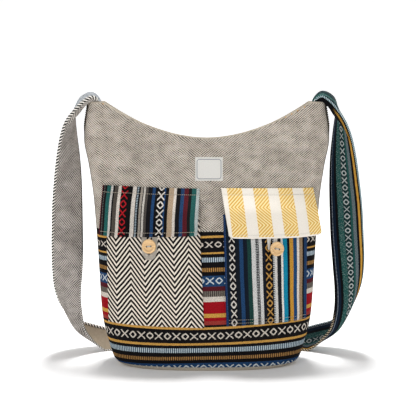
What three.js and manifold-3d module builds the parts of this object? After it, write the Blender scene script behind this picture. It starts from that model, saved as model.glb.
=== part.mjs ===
// A jhola shoulder bag: hemp twill above, striped hand-loom cloth below, two flapped
// patch pockets with wooden buttons, and a broad strap of two cloths dropped behind it.
// Millimetres, +Z up, front towards -Y, origin at the middle of the base on the floor.
import * as THREE from "three";
import { mergeVertices } from "three/addons/utils/BufferGeometryUtils.js";
import Module from "manifold-3d";

const wasm = await Module();
wasm.setup();

// The bag's body
const BAG_WIDTH = 362;
const BAG_DEPTH = 120;
const PEAK_HEIGHT = 394;
const MOUTH_HEIGHT = 342;
const PEAK_SPREAD = 306;
const RIM_CURVE = 1.85;
const BACK_RIM_DROP = 5;
const SEAM_HEIGHT = 208;
const BASE_EDGE = 6;
const BODY_CLOTH = 2.4;

// Gaps that stand for sewn joints
const SEAM_GAP = 0.3;
const PATCH_GAP = 0.5;

// Left pocket, of herringbone cloth, and the right one, of striped cloth
const POCKET_CLOTH = 2;
const POCKET_PUFF = 11;
const POCKET_SIDE_CURVE = 0.7;
const LEFT_POCKET = { left: -147, right: -5.5, bottom: 67, top: 229 };
const RIGHT_POCKET = { left: 25, right: 148.5, bottom: 70, top: 233 };

// Flaps: the corners of each, across and up
const FLAP_CLOTH = 2.6;
const FLAP_SIDE_DROP = 0.3;
const LEFT_FLAP = {
  topLeft: [-153, 274],
  topRight: [-10, 270],
  bottomLeft: [-159, 201],
  bottomRight: [-13.5, 204],
};
const RIGHT_FLAP = {
  topLeft: [21, 271],
  topRight: [157, 270],
  bottomLeft: [35, 204],
  bottomRight: [169, 206],
};

// Buttons, each as far below its flap's edge as `belowFlap` says, and their loops
const BUTTON_DIAMETER = 21;
const BUTTON_THICKNESS = 4.6;
const BUTTON_DISH = 1.2;
const BUTTON_STAND = 0.35;
const THREAD_HOLE = 2.4;
const HOLE_SPACING = 5.4;
const LEFT_BUTTON = { across: -83, belowFlap: 3 };
const RIGHT_BUTTON = { across: 101, belowFlap: 9.5 };
const LOOP_TAPE = 1.5;
const LEFT_LOOP = { halfWidth: 11.5, slot: 4, head: 24, tip: 20 };
const RIGHT_LOOP = { halfWidth: 9.5, slot: 3, head: 27, tip: 8 };
const LOOP_HEAD_CURVE = 0.35;
const LOOP_TIP_CURVE = 0.85;

// Woven label
const LABEL_ACROSS = 3.5;
const LABEL_UP = 298;
const LABEL_WIDTH = 41;
const LABEL_HEIGHT = 34;
const LABEL_CLOTH = 1;

// Strap: each half runs from its peak, over, down beside the bag and round behind it. Its
// folded root opens out between two rows of its route.
const HEMP_STRAP_WIDTH = 47;
const STRIPED_STRAP_WIDTH = 49;
const STRAP_CLOTH = 3.2;
const STRAP_EDGE_THINNING = 0.4;
const STRAP_ROOT = { width: 16, cloth: 5, opensFrom: 1.8, openBy: 5.2 };

// How finely the cloth is faceted
const AROUND = 56;
const UPPER_ROWS = 8;
const LOWER_ROWS = [0, 0.04, 0.1, 0.18, 0.3, 0.46, 0.64, 0.82, 1];
const STRAP_ROWS = 42;
const STRAP_COLUMNS = 6;

// Level sections of the body: height as a share of PEAK_HEIGHT, half width and half depth
// as shares of half BAG_WIDTH and half BAG_DEPTH, and how square the corners are.
const SECTIONS = [
  { up: 0.0, wide: 0.702, deep: 0.9, square: 2.5 },
  { up: 0.015, wide: 0.754, deep: 0.965, square: 2.6 },
  { up: 0.036, wide: 0.785, deep: 0.99, square: 2.6 },
  { up: 0.087, wide: 0.818, deep: 1.0, square: 2.7 },
  { up: 0.156, wide: 0.856, deep: 1.0, square: 2.8 },
  { up: 0.232, wide: 0.875, deep: 0.99, square: 2.8 },
  { up: 0.345, wide: 0.888, deep: 0.965, square: 2.8 },
  { up: 0.462, wide: 0.901, deep: 0.9, square: 2.8 },
  { up: 0.561, wide: 0.915, deep: 0.8, square: 2.8 },
  { up: 0.66, wide: 0.932, deep: 0.66, square: 2.8 },
  { up: 0.765, wide: 0.964, deep: 0.485, square: 2.9 },
  { up: 0.865, wide: 1.0, deep: 0.33, square: 3.0 },
  { up: 1.0, wide: 0.963, deep: 0.3, square: 3.0 },
];

// Soft dents and swells in the cloth: the face they lie on (-1 front, 1 back), their centre
// across and up, their spread, and their depth (negative swells out), as the same shares.
const DENTS = [
  { face: -1, across: -0.62, up: 0.8, wide: 0.22, tall: 0.12, deep: 0.045 },
  { face: -1, across: 0.6, up: 0.79, wide: 0.2, tall: 0.12, deep: 0.05 },
  { face: -1, across: 0.02, up: 0.66, wide: 0.3, tall: 0.08, deep: 0.03 },
  { face: -1, across: -0.3, up: 0.76, wide: 0.14, tall: 0.1, deep: -0.035 },
  { face: -1, across: 0.34, up: 0.74, wide: 0.15, tall: 0.1, deep: -0.03 },
  { face: 1, across: -0.5, up: 0.72, wide: 0.2, tall: 0.14, deep: 0.07 },
  { face: 1, across: 0.46, up: 0.66, wide: 0.22, tall: 0.13, deep: 0.08 },
  { face: 1, across: 0.0, up: 0.5, wide: 0.3, tall: 0.12, deep: 0.06 },
];

// The strap's routes: out from the middle, back and up as shares of half BAG_WIDTH, half
// BAG_DEPTH and PEAK_HEIGHT, then the turn of its width (90 flat over the peak, 0 facing
// forward, below -90 with its back face up) and the bow across its width, as a share.
const HEMP_ROUTE = [
  { out: 0.864, back: 0.0, up: 0.925, turn: 90, bow: 0 },
  { out: 0.867, back: 0.0, up: 0.98, turn: 90, bow: 0 },
  { out: 0.89, back: 0.0, up: 1.013, turn: 94, bow: 0 },
  { out: 0.948, back: 0.0, up: 1.027, turn: 104, bow: 0 },
  { out: 1.03, back: 0.02, up: 1.005, turn: 102, bow: 0 },
  { out: 1.093, back: 0.06, up: 0.965, turn: 92, bow: 0 },
  { out: 1.122, back: 0.1, up: 0.93, turn: 80, bow: 0 },
  { out: 1.138, back: 0.15, up: 0.88, turn: 68, bow: 0.02 },
  { out: 1.147, back: 0.2, up: 0.795, turn: 52, bow: 0.03 },
  { out: 1.156, back: 0.27, up: 0.695, turn: 37, bow: 0.03 },
  { out: 1.166, back: 0.34, up: 0.597, turn: 25, bow: 0.02 },
  { out: 1.174, back: 0.43, up: 0.487, turn: 14, bow: 0.02 },
  { out: 1.182, back: 0.54, up: 0.368, turn: -4, bow: 0.05 },
  { out: 1.188, back: 0.68, up: 0.26, turn: -28, bow: 0.1 },
  { out: 1.158, back: 0.83, up: 0.18, turn: -50, bow: 0.18 },
  { out: 1.088, back: 1.0, up: 0.11, turn: -78, bow: 0.24 },
  { out: 0.98, back: 1.17, up: 0.065, turn: -104, bow: 0.2 },
  { out: 0.84, back: 1.31, up: 0.03, turn: -124, bow: 0.1 },
  { out: 0.64, back: 1.4, up: 0.0, turn: -132, bow: 0.04 },
  { out: 0.42, back: 1.45, up: 0.0, turn: -132, bow: 0.02 },
  { out: 0.21, back: 1.46, up: 0.0, turn: -132, bow: 0 },
  { out: 0.0, back: 1.46, up: 0.0, turn: -132, bow: 0 },
];
const STRIPED_ROUTE = [
  { out: 0.864, back: 0.0, up: 0.925, turn: 90, bow: 0 },
  { out: 0.867, back: 0.0, up: 0.98, turn: 90, bow: 0 },
  { out: 0.89, back: 0.0, up: 1.014, turn: 94, bow: 0 },
  { out: 0.95, back: 0.0, up: 1.03, turn: 105, bow: 0 },
  { out: 1.03, back: 0.02, up: 1.008, turn: 103, bow: 0 },
  { out: 1.08, back: 0.06, up: 0.97, turn: 92, bow: 0 },
  { out: 1.103, back: 0.1, up: 0.93, turn: 78, bow: 0 },
  { out: 1.119, back: 0.15, up: 0.875, turn: 63, bow: 0.02 },
  { out: 1.132, back: 0.2, up: 0.795, turn: 47, bow: 0.03 },
  { out: 1.148, back: 0.27, up: 0.695, turn: 32, bow: 0.03 },
  { out: 1.166, back: 0.34, up: 0.597, turn: 18, bow: 0.02 },
  { out: 1.183, back: 0.43, up: 0.487, turn: 6, bow: 0.02 },
  { out: 1.203, back: 0.54, up: 0.378, turn: -8, bow: 0.05 },
  { out: 1.208, back: 0.68, up: 0.275, turn: -30, bow: 0.1 },
  { out: 1.176, back: 0.84, up: 0.185, turn: -54, bow: 0.18 },
  { out: 1.095, back: 1.02, up: 0.11, turn: -82, bow: 0.24 },
  { out: 0.975, back: 1.18, up: 0.065, turn: -106, bow: 0.2 },
  { out: 0.835, back: 1.31, up: 0.03, turn: -124, bow: 0.1 },
  { out: 0.64, back: 1.4, up: 0.0, turn: -132, bow: 0.04 },
  { out: 0.42, back: 1.45, up: 0.0, turn: -132, bow: 0.02 },
  { out: 0.21, back: 1.46, up: 0.0, turn: -132, bow: 0 },
  { out: 0.0, back: 1.46, up: 0.0, turn: -132, bow: 0 },
];

const HALF_WIDTH = BAG_WIDTH / 2;
const HALF_DEPTH = BAG_DEPTH / 2;

const hemp = cloth(0xb0a698);
const hempStrap = cloth(0xa89f93);
const loomStripes = cloth(0x2b2a2e);
const herringbone = cloth(0x8d8880);
const darkStripes = cloth(0x3a4658);
const yellowStripes = cloth(0xe3cd96);
const tealStripes = cloth(0x3f6f6c);
const tape = cloth(0xd9d2c4);
const labelWhite = cloth(0xeceae4);
const wood = new THREE.MeshStandardMaterial({ color: 0xd7ae74, roughness: 0.5, metalness: 0 });

function cloth(color) {
  return new THREE.MeshStandardMaterial({ color, roughness: 0.92, metalness: 0 });
}

// A smooth value between 0 and 1 as t goes from start to end.
function ease(t, start, end) {
  return THREE.MathUtils.smoothstep(t, start, end);
}

// The value of one column of a table at a place in it, along a smooth curve through its
// rows. `key` names the column that the place is measured in.
function column(table, key, place, name) {
  const last = table.length - 1;
  const k = THREE.MathUtils.clamp(table.findIndex((row) => row[key] > place) - 1, 0, last - 1);
  const index = place >= table[last][key] ? last - 1 : k;
  const row = (n) => table[THREE.MathUtils.clamp(n, 0, last)];
  const slope = (n) => {
    const before = row(n - 1);
    const after = row(n + 1);
    return (after[name] - before[name]) / (after[key] - before[key]);
  };
  const span = row(index + 1)[key] - row(index)[key];
  const t = THREE.MathUtils.clamp((place - row(index)[key]) / span, 0, 1);
  const rise = row(index + 1)[name] - row(index)[name];
  const start = slope(index) * span;
  const end = slope(index + 1) * span;
  return (
    row(index)[name] +
    t * start +
    t * t * (3 * rise - 2 * start - end) +
    t * t * t * (start + end - 2 * rise)
  );
}

function section(height) {
  const place = THREE.MathUtils.clamp(height / PEAK_HEIGHT, 0, 1);
  return {
    wide: HALF_WIDTH * column(SECTIONS, "up", place, "wide"),
    deep: HALF_DEPTH * column(SECTIONS, "up", place, "deep"),
    square: column(SECTIONS, "up", place, "square"),
  };
}

// How far the cloth is pushed in towards the middle at a place on the front or the back.
function dent(face, across, height) {
  let depth = 0;
  for (const row of DENTS) {
    if (row.face !== face) continue;
    const x = (across / HALF_WIDTH - row.across) / row.wide;
    const z = (height / PEAK_HEIGHT - row.up) / row.tall;
    depth += row.deep * HALF_DEPTH * Math.exp(-x * x - z * z);
  }
  return depth;
}

// The body at an angle round it and a height, `inset` inside its outer face.
function bodyPoint(angle, height, inset) {
  const { wide, deep, square } = section(height);
  const cos = Math.cos(angle);
  const sin = Math.sin(angle);
  const power = 2 / square;
  const x = (wide - inset) * Math.sign(cos) * Math.abs(cos) ** power;
  const y = (deep - inset) * Math.sign(sin) * Math.abs(sin) ** power;
  const face = Math.sign(sin);
  const push = dent(face, x, height) * Math.min(1, 1.5 * Math.abs(sin));
  return new THREE.Vector3(x, y - face * push, height);
}

// Height of the crescent rim, which rises from the middle to a flat peak at each side.
function rimHeight(x, face) {
  const out = Math.min(1, Math.abs(x) / (PEAK_SPREAD / 2));
  const sag = face > 0 ? BACK_RIM_DROP * (1 - out * out) : 0;
  return MOUTH_HEIGHT - sag + (PEAK_HEIGHT - MOUTH_HEIGHT) * out ** RIM_CURVE;
}

// The rim at an angle round the body: its height depends on how far out it lies.
function rimAt(angle) {
  let height = PEAK_HEIGHT;
  for (let pass = 0; pass < 12; pass++) {
    height = rimHeight(bodyPoint(angle, height, 0).x, Math.sin(angle));
  }
  return height;
}

// The front of the body at a place across and up, as a y. Past most of its width it goes
// on straight, as a stiff patch does where the bag's side turns away under it.
function frontAt(across, height) {
  const { wide, deep, square } = section(height);
  const reach = 0.9;
  const share = Math.min(Math.abs(across) / wide, reach);
  const rest = 1 - share ** square;
  const y = -deep * rest ** (1 / square);
  const slope = (deep / wide) * share ** (square - 1) * rest ** (1 / square - 1);
  const past = Math.max(0, Math.abs(across) - reach * wide);
  return y + past * slope + dent(-1, across, height);
}

// A closed mesh of four-sided faces, turned to face outwards.
function closedGeometry(points, quads) {
  const corner = quads.flatMap(([a, b, c, d]) => [a, b, c, a, c, d]);
  let volume = 0;
  for (let i = 0; i < corner.length; i += 3) {
    const [a, b, c] = [points[corner[i]], points[corner[i + 1]], points[corner[i + 2]]];
    volume += a.dot(new THREE.Vector3().crossVectors(b, c));
  }
  if (volume < 0) corner.reverse();
  const geometry = new THREE.BufferGeometry().setFromPoints(points);
  geometry.setIndex(corner);
  geometry.computeVertexNormals();
  return geometry;
}

// A wall of cloth: place(across, along, side) gives its outer (0) and inner (1) faces,
// which are joined along their free edges. `around` closes it into a ring.
function wall(columns, rows, place, around = false) {
  const ring = around ? columns : columns + 1;
  const points = [];
  for (const side of [0, 1]) {
    for (let j = 0; j <= rows; j++) {
      for (let i = 0; i < ring; i++) points.push(place(i / columns, j / rows, side));
    }
  }
  const at = (i, j, side) => (side * (rows + 1) + j) * ring + (i % ring);
  const quads = [];
  for (let i = 0; i < columns; i++) {
    for (let j = 0; j < rows; j++) {
      quads.push([at(i, j, 0), at(i + 1, j, 0), at(i + 1, j + 1, 0), at(i, j + 1, 0)]);
      quads.push([at(i, j + 1, 1), at(i + 1, j + 1, 1), at(i + 1, j, 1), at(i, j, 1)]);
    }
    quads.push([at(i + 1, 0, 0), at(i, 0, 0), at(i, 0, 1), at(i + 1, 0, 1)]);
    quads.push([at(i, rows, 0), at(i + 1, rows, 0), at(i + 1, rows, 1), at(i, rows, 1)]);
  }
  if (!around) {
    for (let j = 0; j < rows; j++) {
      quads.push([at(0, j, 0), at(0, j + 1, 0), at(0, j + 1, 1), at(0, j, 1)]);
      quads.push([
        at(columns, j + 1, 0),
        at(columns, j, 0),
        at(columns, j, 1),
        at(columns, j + 1, 1),
      ]);
    }
  }
  return closedGeometry(points, quads);
}

function piece(name, geometry, material) {
  const mesh = new THREE.Mesh(geometry, material);
  mesh.name = name;
  return mesh;
}

// One face of the body (-1 front, 1 back) from side seam to side seam. heightAt gives the
// height at an angle and a share of the way up.
function bodyPanel(name, face, rows, heightAt, material) {
  const panel = wall(AROUND / 2, rows, (across, rise, side) => {
    const turn = Math.PI * (across + (face < 0 ? 1 : 0));
    const height = heightAt(turn, rise);
    const { deep, square } = section(height);
    const seam = (SEAM_GAP / 2 / deep) ** (square / 2);
    const start = face < 0 ? Math.PI : 0;
    const angle = THREE.MathUtils.clamp(turn, start + seam, start + Math.PI - seam);
    return bodyPoint(angle, height, side * BODY_CLOTH);
  });
  return piece(name, panel, material);
}

// Upper body: hemp from the seam to the crescent rim.
function upperPanel(name, face) {
  const bottom = SEAM_HEIGHT + SEAM_GAP / 2;
  const heightAt = (angle, rise) => bottom + rise * (rimAt(angle) - bottom);
  return bodyPanel(name, face, UPPER_ROWS, heightAt, hemp);
}

// Lower body: striped cloth from the base's edge to the seam, with closer rows at its foot.
function lowerPanel(name, face) {
  const bottom = BASE_EDGE + SEAM_GAP;
  const top = SEAM_HEIGHT - SEAM_GAP / 2;
  const last = LOWER_ROWS.length - 1;
  const heightAt = (angle, rise) => bottom + LOWER_ROWS[Math.round(rise * last)] * (top - bottom);
  return bodyPanel(name, face, last, heightAt, loomStripes);
}

// Base: a flat oval of hemp whose edge turns up to meet the lower body.
function basePanel() {
  const turned = BASE_EDGE * 0.3;
  const middle = 0.6;
  const foldedIn = 1.4 * BODY_CLOTH;
  const flat = section(0);
  const edge = section(BASE_EDGE);
  const bend = section(turned);
  const profile = [
    [0, 0, flat],
    [middle, 0, flat],
    [1, 0, flat],
    [1, turned, bend],
    [1, BASE_EDGE, edge],
    [1 - BODY_CLOTH / edge.deep, BASE_EDGE, edge],
    [1 - foldedIn / flat.deep, BODY_CLOTH, flat],
    [middle, BODY_CLOTH, flat],
    [0, BODY_CLOTH, flat],
  ];
  const lathe = new THREE.LatheGeometry(
    profile.map(([share, height]) => new THREE.Vector2(share, height)),
    AROUND,
  );
  const place = lathe.getAttribute("position");
  for (let i = 0; i < place.count; i++) {
    const [share, height, { wide, deep, square }] = profile[i % profile.length];
    const angle = (2 * Math.PI * Math.floor(i / profile.length)) / AROUND;
    const cos = Math.cos(angle);
    const sin = Math.sin(angle);
    const power = 2 / square;
    const inset = (1 - share) * deep;
    const halfWidth = share <= middle ? share * wide : wide - inset;
    place.setXYZ(
      i,
      halfWidth * Math.sign(cos) * Math.abs(cos) ** power,
      share * deep * Math.sign(sin) * Math.abs(sin) ** power,
      height,
    );
  }
  return piece("base_panel", facingOut(lathe), hemp);
}

// A geometry with its doubled points merged and its faces turned outwards.
function facingOut(geometry) {
  const merged = welded(geometry);
  const place = merged.getAttribute("position");
  const index = [...merged.getIndex().array];
  const point = (n) => new THREE.Vector3().fromBufferAttribute(place, n);
  let volume = 0;
  for (let i = 0; i < index.length; i += 3) {
    const cross = new THREE.Vector3().crossVectors(point(index[i + 1]), point(index[i + 2]));
    volume += point(index[i]).dot(cross);
  }
  if (volume < 0) index.reverse();
  merged.setIndex(index);
  merged.computeVertexNormals();
  return merged;
}

function welded(geometry) {
  const bare = geometry.clone();
  for (const name of Object.keys(bare.attributes)) {
    if (name !== "position") bare.deleteAttribute(name);
  }
  return mergeVertices(bare, 1e-3);
}

// How far a pocket's cloth stands off the body: nothing along its three sewn edges, and
// full at its open top.
function pocketLift(pocket, across, height) {
  const share = (across - pocket.left) / (pocket.right - pocket.left);
  const rise = (height - pocket.bottom) / (pocket.top - pocket.bottom);
  const side = Math.sin(Math.PI * THREE.MathUtils.clamp(share, 0, 1)) ** POCKET_SIDE_CURVE;
  return PATCH_GAP + POCKET_PUFF * side * ease(rise, -0.02, 0.35);
}

function pocket(name, size, material) {
  const sheet = wall(14, 11, (across, along, side) => {
    const x = THREE.MathUtils.lerp(size.left, size.right, across);
    const z = THREE.MathUtils.lerp(size.bottom, size.top, along);
    const off = pocketLift(size, x, z) + (side ? 0 : POCKET_CLOTH);
    return new THREE.Vector3(x, frontAt(x, z) - off, z);
  });
  return piece(name, sheet, material);
}

// How far a flap's back stands off the body: sewn down along its top edge, then over the
// pocket, its mouth and the button loop. Its sides drop a little.
function flapLift(across, down) {
  const full = POCKET_PUFF + POCKET_CLOTH + LOOP_TAPE + 2 * SEAM_GAP;
  const side = 1 - FLAP_SIDE_DROP * Math.abs(2 * across - 1) ** 3;
  return PATCH_GAP + full * side * ease(down, -0.05, 0.5);
}

// Height of a button's middle: its edge hangs clear of the flap that it closes.
function buttonUp(button, corners) {
  const [left, low] = corners.bottomLeft;
  const [right, high] = corners.bottomRight;
  const flapEdge = THREE.MathUtils.mapLinear(button.across, left, right, low, high);
  return flapEdge - BUTTON_DIAMETER / 2 - button.belowFlap;
}

function flap(name, corners, material) {
  const corner = (key) => new THREE.Vector2(...corners[key]);
  const spot = (across, down) =>
    corner("topLeft")
      .lerp(corner("topRight"), across)
      .lerp(corner("bottomLeft").lerp(corner("bottomRight"), across), down);
  const sheet = wall(12, 9, (across, down, side) => {
    const { x, y: z } = spot(across, down);
    const off = flapLift(across, down) + (side ? 0 : FLAP_CLOTH);
    return new THREE.Vector3(x, frontAt(x, z) - off, z);
  });
  return piece(name, sheet, material);
}

// The outer face of a pocket at a place across and up, as a y.
function pocketFace(size, across, height) {
  return frontAt(across, height) - pocketLift(size, across, height) - POCKET_CLOTH;
}

// A loop of tape round a button, lying on the pocket: its head is tucked under the flap.
function loop(name, button, corners, size, shape) {
  const turns = 24;
  const middle = buttonUp(button, corners);
  const outline = (turn, half, tip) => {
    const angle = 2 * Math.PI * turn;
    const sin = Math.sin(angle);
    const cos = Math.cos(angle);
    const reach = sin > 0 ? shape.head - (shape.halfWidth - half) : tip;
    const curve = sin > 0 ? LOOP_HEAD_CURVE : LOOP_TIP_CURVE;
    return [
      half * Math.sign(cos) * Math.abs(cos) ** curve,
      reach * Math.sign(sin) * Math.abs(sin) ** curve,
    ];
  };
  const slotTip = shape.tip - (shape.halfWidth - shape.slot);
  const ring = wall(
    turns,
    1,
    (turn, inward, side) => {
      const half = inward ? shape.slot : shape.halfWidth;
      const [dx, dz] = outline(turn, half, inward ? Math.max(1, slotTip) : shape.tip);
      const x = button.across + dx;
      const z = middle + dz;
      const off = SEAM_GAP + (side ? 0 : LOOP_TAPE);
      return new THREE.Vector3(x, pocketFace(size, x, z) - off, z);
    },
    true,
  );
  return piece(name, ring, tape);
}

// A turned wooden button with a dished face and two thread holes, flat on its loop.
function button(name, place, corners, size) {
  const radius = BUTTON_DIAMETER / 2;
  const middle = buttonUp(place, corners);
  const edge = BUTTON_THICKNESS * 0.3;
  const face = BUTTON_THICKNESS / 2;
  const profile = [
    [0, -face],
    [radius * 0.8, -face],
    [radius, -face + edge],
    [radius, face - edge],
    [radius * 0.9, face],
    [radius * 0.72, face],
    [radius * 0.58, face - BUTTON_DISH],
    [0, face - BUTTON_DISH],
  ];
  const turned = new THREE.LatheGeometry(
    profile.map(([r, z]) => new THREE.Vector2(r, z)),
    20,
  );
  const drill = new THREE.CylinderGeometry(THREAD_HOLE / 2, THREAD_HOLE / 2, 3 * face, 8);
  let body = solid(turned);
  for (const side of [-1, 1]) {
    const hole = drill.clone().translate((side * HOLE_SPACING) / 2, 0, 0);
    body = body.subtract(solid(hole));
  }
  const mesh = piece(name, geometryOf(body), wood);
  const step = BUTTON_DIAMETER / 4;
  const faceAt = (dx, dz) => {
    const x = place.across + dx;
    const z = middle + dz;
    return new THREE.Vector3(x, pocketFace(size, x, z), z);
  };
  const over = faceAt(step, 0).sub(faceAt(-step, 0));
  const up = faceAt(0, step).sub(faceAt(0, -step));
  const out = new THREE.Vector3().crossVectors(over, up).normalize();
  const stand = 2 * SEAM_GAP + LOOP_TAPE + face + BUTTON_STAND;
  mesh.position.copy(faceAt(0, 0)).addScaledVector(out, stand);
  mesh.quaternion.setFromUnitVectors(new THREE.Vector3(0, 1, 0), out);
  return mesh;
}

function solid(geometry) {
  const merged = welded(geometry);
  return new wasm.Manifold(
    new wasm.Mesh({
      numProp: 3,
      vertProperties: new Float32Array(merged.getAttribute("position").array),
      triVerts: new Uint32Array(merged.getIndex().array),
    }),
  );
}

function geometryOf(body) {
  const { vertProperties, triVerts } = body.getMesh();
  const geometry = new THREE.BufferGeometry();
  geometry.setAttribute("position", new THREE.BufferAttribute(vertProperties, 3));
  geometry.setIndex([...triVerts]);
  geometry.computeVertexNormals();
  return geometry;
}

// The woven label, sewn flat on the upper body.
function label() {
  const sheet = wall(5, 4, (across, along, side) => {
    const x = LABEL_ACROSS + (across - 0.5) * LABEL_WIDTH;
    const z = LABEL_UP + (along - 0.5) * LABEL_HEIGHT;
    const off = PATCH_GAP + (side ? 0 : LABEL_CLOTH);
    return new THREE.Vector3(x, frontAt(x, z) - off, z);
  });
  return piece("label", sheet, labelWhite);
}

// One half of the strap, mirrored by `hand` (-1 left, 1 right). Its cloth is folded narrow
// and thick at its root inside the peak and opens out over the arch.
function strap(name, route, fullWidth, hand, material) {
  const last = route.length - 1;
  const rows = route.map((row, n) => ({ ...row, place: n / last }));
  const value = (along, key) => column(rows, "place", along, key);
  const centre = (along) =>
    new THREE.Vector3(
      -value(along, "out") * HALF_WIDTH,
      value(along, "back") * HALF_DEPTH,
      value(along, "up") * PEAK_HEIGHT,
    );
  const joinGap = SEAM_GAP / 2;
  const step = 1e-3;
  const spot = (across, along, side) => {
    const ahead = centre(Math.min(1, along + step));
    const travel = ahead.sub(centre(Math.max(0, along - step))).normalize();
    const left = new THREE.Vector3(-travel.z, 0, travel.x).normalize();
    const turn = THREE.MathUtils.degToRad(value(along, "turn"));
    const over = left.multiplyScalar(Math.cos(turn));
    over.y += Math.sin(turn);
    over.addScaledVector(travel, -over.dot(travel)).normalize();
    const face = new THREE.Vector3().crossVectors(travel, over);
    const opened = ease(along * last, STRAP_ROOT.opensFrom, STRAP_ROOT.openBy);
    const width = THREE.MathUtils.lerp(STRAP_ROOT.width, fullWidth, opened);
    const thick = THREE.MathUtils.lerp(STRAP_ROOT.cloth, STRAP_CLOTH, opened);
    const s = 2 * across - 1;
    const bow = value(along, "bow") * width * (1 - s * s);
    const edge = 1 - STRAP_EDGE_THINNING * s ** 8;
    return over
      .multiplyScalar((s * width) / 2)
      .addScaledVector(face, bow + ((side ? -1 : 1) * thick * edge) / 2);
  };
  const drop = (along) => {
    let lowest = 0;
    for (const across of [0, 0.5, 1]) {
      for (const side of [0, 1]) lowest = Math.min(lowest, spot(across, along, side).z);
    }
    return -lowest;
  };
  const ribbon = wall(STRAP_COLUMNS, STRAP_ROWS, (across, along, side) => {
    const middle = centre(along);
    middle.z = Math.max(middle.z, drop(along));
    middle.x -= joinGap * ease(along, 1 - 1 / last, 1);
    const point = middle.add(spot(across, along, side));
    point.x *= -hand;
    return point;
  });
  return piece(name, ribbon, material);
}

const bag = new THREE.Group();
bag.name = "jhola_bag";

const body = new THREE.Group();
body.add(
  upperPanel("upper_front", -1),
  upperPanel("upper_back", 1),
  lowerPanel("lower_front", -1),
  lowerPanel("lower_back", 1),
  basePanel(),
  label(),
);

const leftPocket = new THREE.Group();
leftPocket.add(
  pocket("chevron_pocket", LEFT_POCKET, herringbone),
  flap("striped_flap", LEFT_FLAP, darkStripes),
  loop("left_loop", LEFT_BUTTON, LEFT_FLAP, LEFT_POCKET, LEFT_LOOP),
  button("left_button", LEFT_BUTTON, LEFT_FLAP, LEFT_POCKET),
);

const rightPocket = new THREE.Group();
rightPocket.add(
  pocket("striped_pocket", RIGHT_POCKET, darkStripes),
  flap("yellow_flap", RIGHT_FLAP, yellowStripes),
  loop("right_loop", RIGHT_BUTTON, RIGHT_FLAP, RIGHT_POCKET, RIGHT_LOOP),
  button("right_button", RIGHT_BUTTON, RIGHT_FLAP, RIGHT_POCKET),
);

const straps = new THREE.Group();
straps.add(
  strap("strap_left", HEMP_ROUTE, HEMP_STRAP_WIDTH, -1, hempStrap),
  strap("strap_right", STRIPED_ROUTE, STRIPED_STRAP_WIDTH, 1, tealStripes),
);

bag.add(body, leftPocket, rightPocket, straps);

export default bag;
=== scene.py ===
import math

import bpy
import numpy as np
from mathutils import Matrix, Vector


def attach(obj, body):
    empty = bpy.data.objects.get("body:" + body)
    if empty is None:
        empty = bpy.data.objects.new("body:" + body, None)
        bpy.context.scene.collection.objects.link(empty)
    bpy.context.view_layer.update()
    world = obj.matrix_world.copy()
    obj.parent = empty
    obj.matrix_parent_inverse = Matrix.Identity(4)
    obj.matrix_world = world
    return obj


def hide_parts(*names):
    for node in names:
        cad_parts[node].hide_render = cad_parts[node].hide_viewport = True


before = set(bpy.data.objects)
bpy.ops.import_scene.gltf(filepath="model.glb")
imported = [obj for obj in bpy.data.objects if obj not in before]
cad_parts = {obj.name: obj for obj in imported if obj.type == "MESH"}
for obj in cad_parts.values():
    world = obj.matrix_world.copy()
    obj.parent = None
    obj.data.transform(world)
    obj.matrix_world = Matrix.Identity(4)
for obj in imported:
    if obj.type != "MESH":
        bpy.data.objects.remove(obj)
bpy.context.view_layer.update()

# The bag is seen from the front and a little above its middle with a long lens, as a
# shop's photograph is taken.
EYE = Vector((0.002, -1.782, 0.490))
AIM = Vector((0.002, 0.0, 0.236))
camera = bpy.data.objects.new("camera", bpy.data.cameras.new("camera"))
camera.data.lens = 104
camera.data.sensor_width = 36
camera.location = EYE
camera.rotation_euler = (AIM - EYE).to_track_quat("-Z", "Y").to_euler()
bpy.context.collection.objects.link(camera)
bpy.context.scene.camera = camera


# Soft daylight all round, a broad key from the upper left, a weaker fill from the right, and
# a lamp high behind the bag whose short shadow falls in front of it.
def add_light(name, place, aim, size, power):
    light = bpy.data.lights.new(name, "AREA")
    light.shape = "SQUARE"
    light.size = size
    light.energy = power
    lamp = bpy.data.objects.new(name, light)
    lamp.location = place
    lamp.rotation_euler = (Vector(aim) - Vector(place)).to_track_quat("-Z", "Y").to_euler()
    bpy.context.collection.objects.link(lamp)


add_light("key", (-0.9, -2.0, 1.0), (0, 0, 0.2), 1.0, 15)
add_light("fill", (1.5, -1.3, 0.7), (0, 0, 0.2), 1.2, 4)
add_light("high lamp", (0, 0.36, 2.1), (0, 0, 0.1), 0.5, 46)
world = bpy.data.worlds.new("studio")
world.use_nodes = True
world.node_tree.nodes["Background"].inputs["Color"].default_value = (1, 1, 1, 1)
world.node_tree.nodes["Background"].inputs["Strength"].default_value = 0.33
bpy.context.scene.world = world
bpy.context.scene.view_settings.view_transform = "Standard"


# The body's shape, as the frame has it: level sections from the base to the peaks, soft
# dents, and the crescent rim. Lengths in metres.
HALF_WIDTH = 0.181
HALF_DEPTH = 0.060
PEAK = 0.394
MOUTH = 0.342
PEAK_REACH = 0.153
BACK_DROP = 0.005
SEAM = 0.208
BASE_EDGE = 0.006
BODY_CLOTH = 0.0024
# Height as a share of the peak's, half width, half depth, squareness of the corners.
SECTIONS = np.array([
    (0.0, 0.702, 0.9, 2.5),
    (0.015, 0.754, 0.965, 2.6),
    (0.036, 0.785, 0.99, 2.6),
    (0.087, 0.818, 1.0, 2.7),
    (0.156, 0.856, 1.0, 2.8),
    (0.232, 0.875, 0.99, 2.8),
    (0.345, 0.888, 0.965, 2.8),
    (0.462, 0.901, 0.9, 2.8),
    (0.561, 0.915, 0.8, 2.8),
    (0.66, 0.932, 0.66, 2.8),
    (0.765, 0.964, 0.485, 2.9),
    (0.865, 1.0, 0.33, 3.0),
    (1.0, 0.963, 0.3, 3.0),
])
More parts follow.
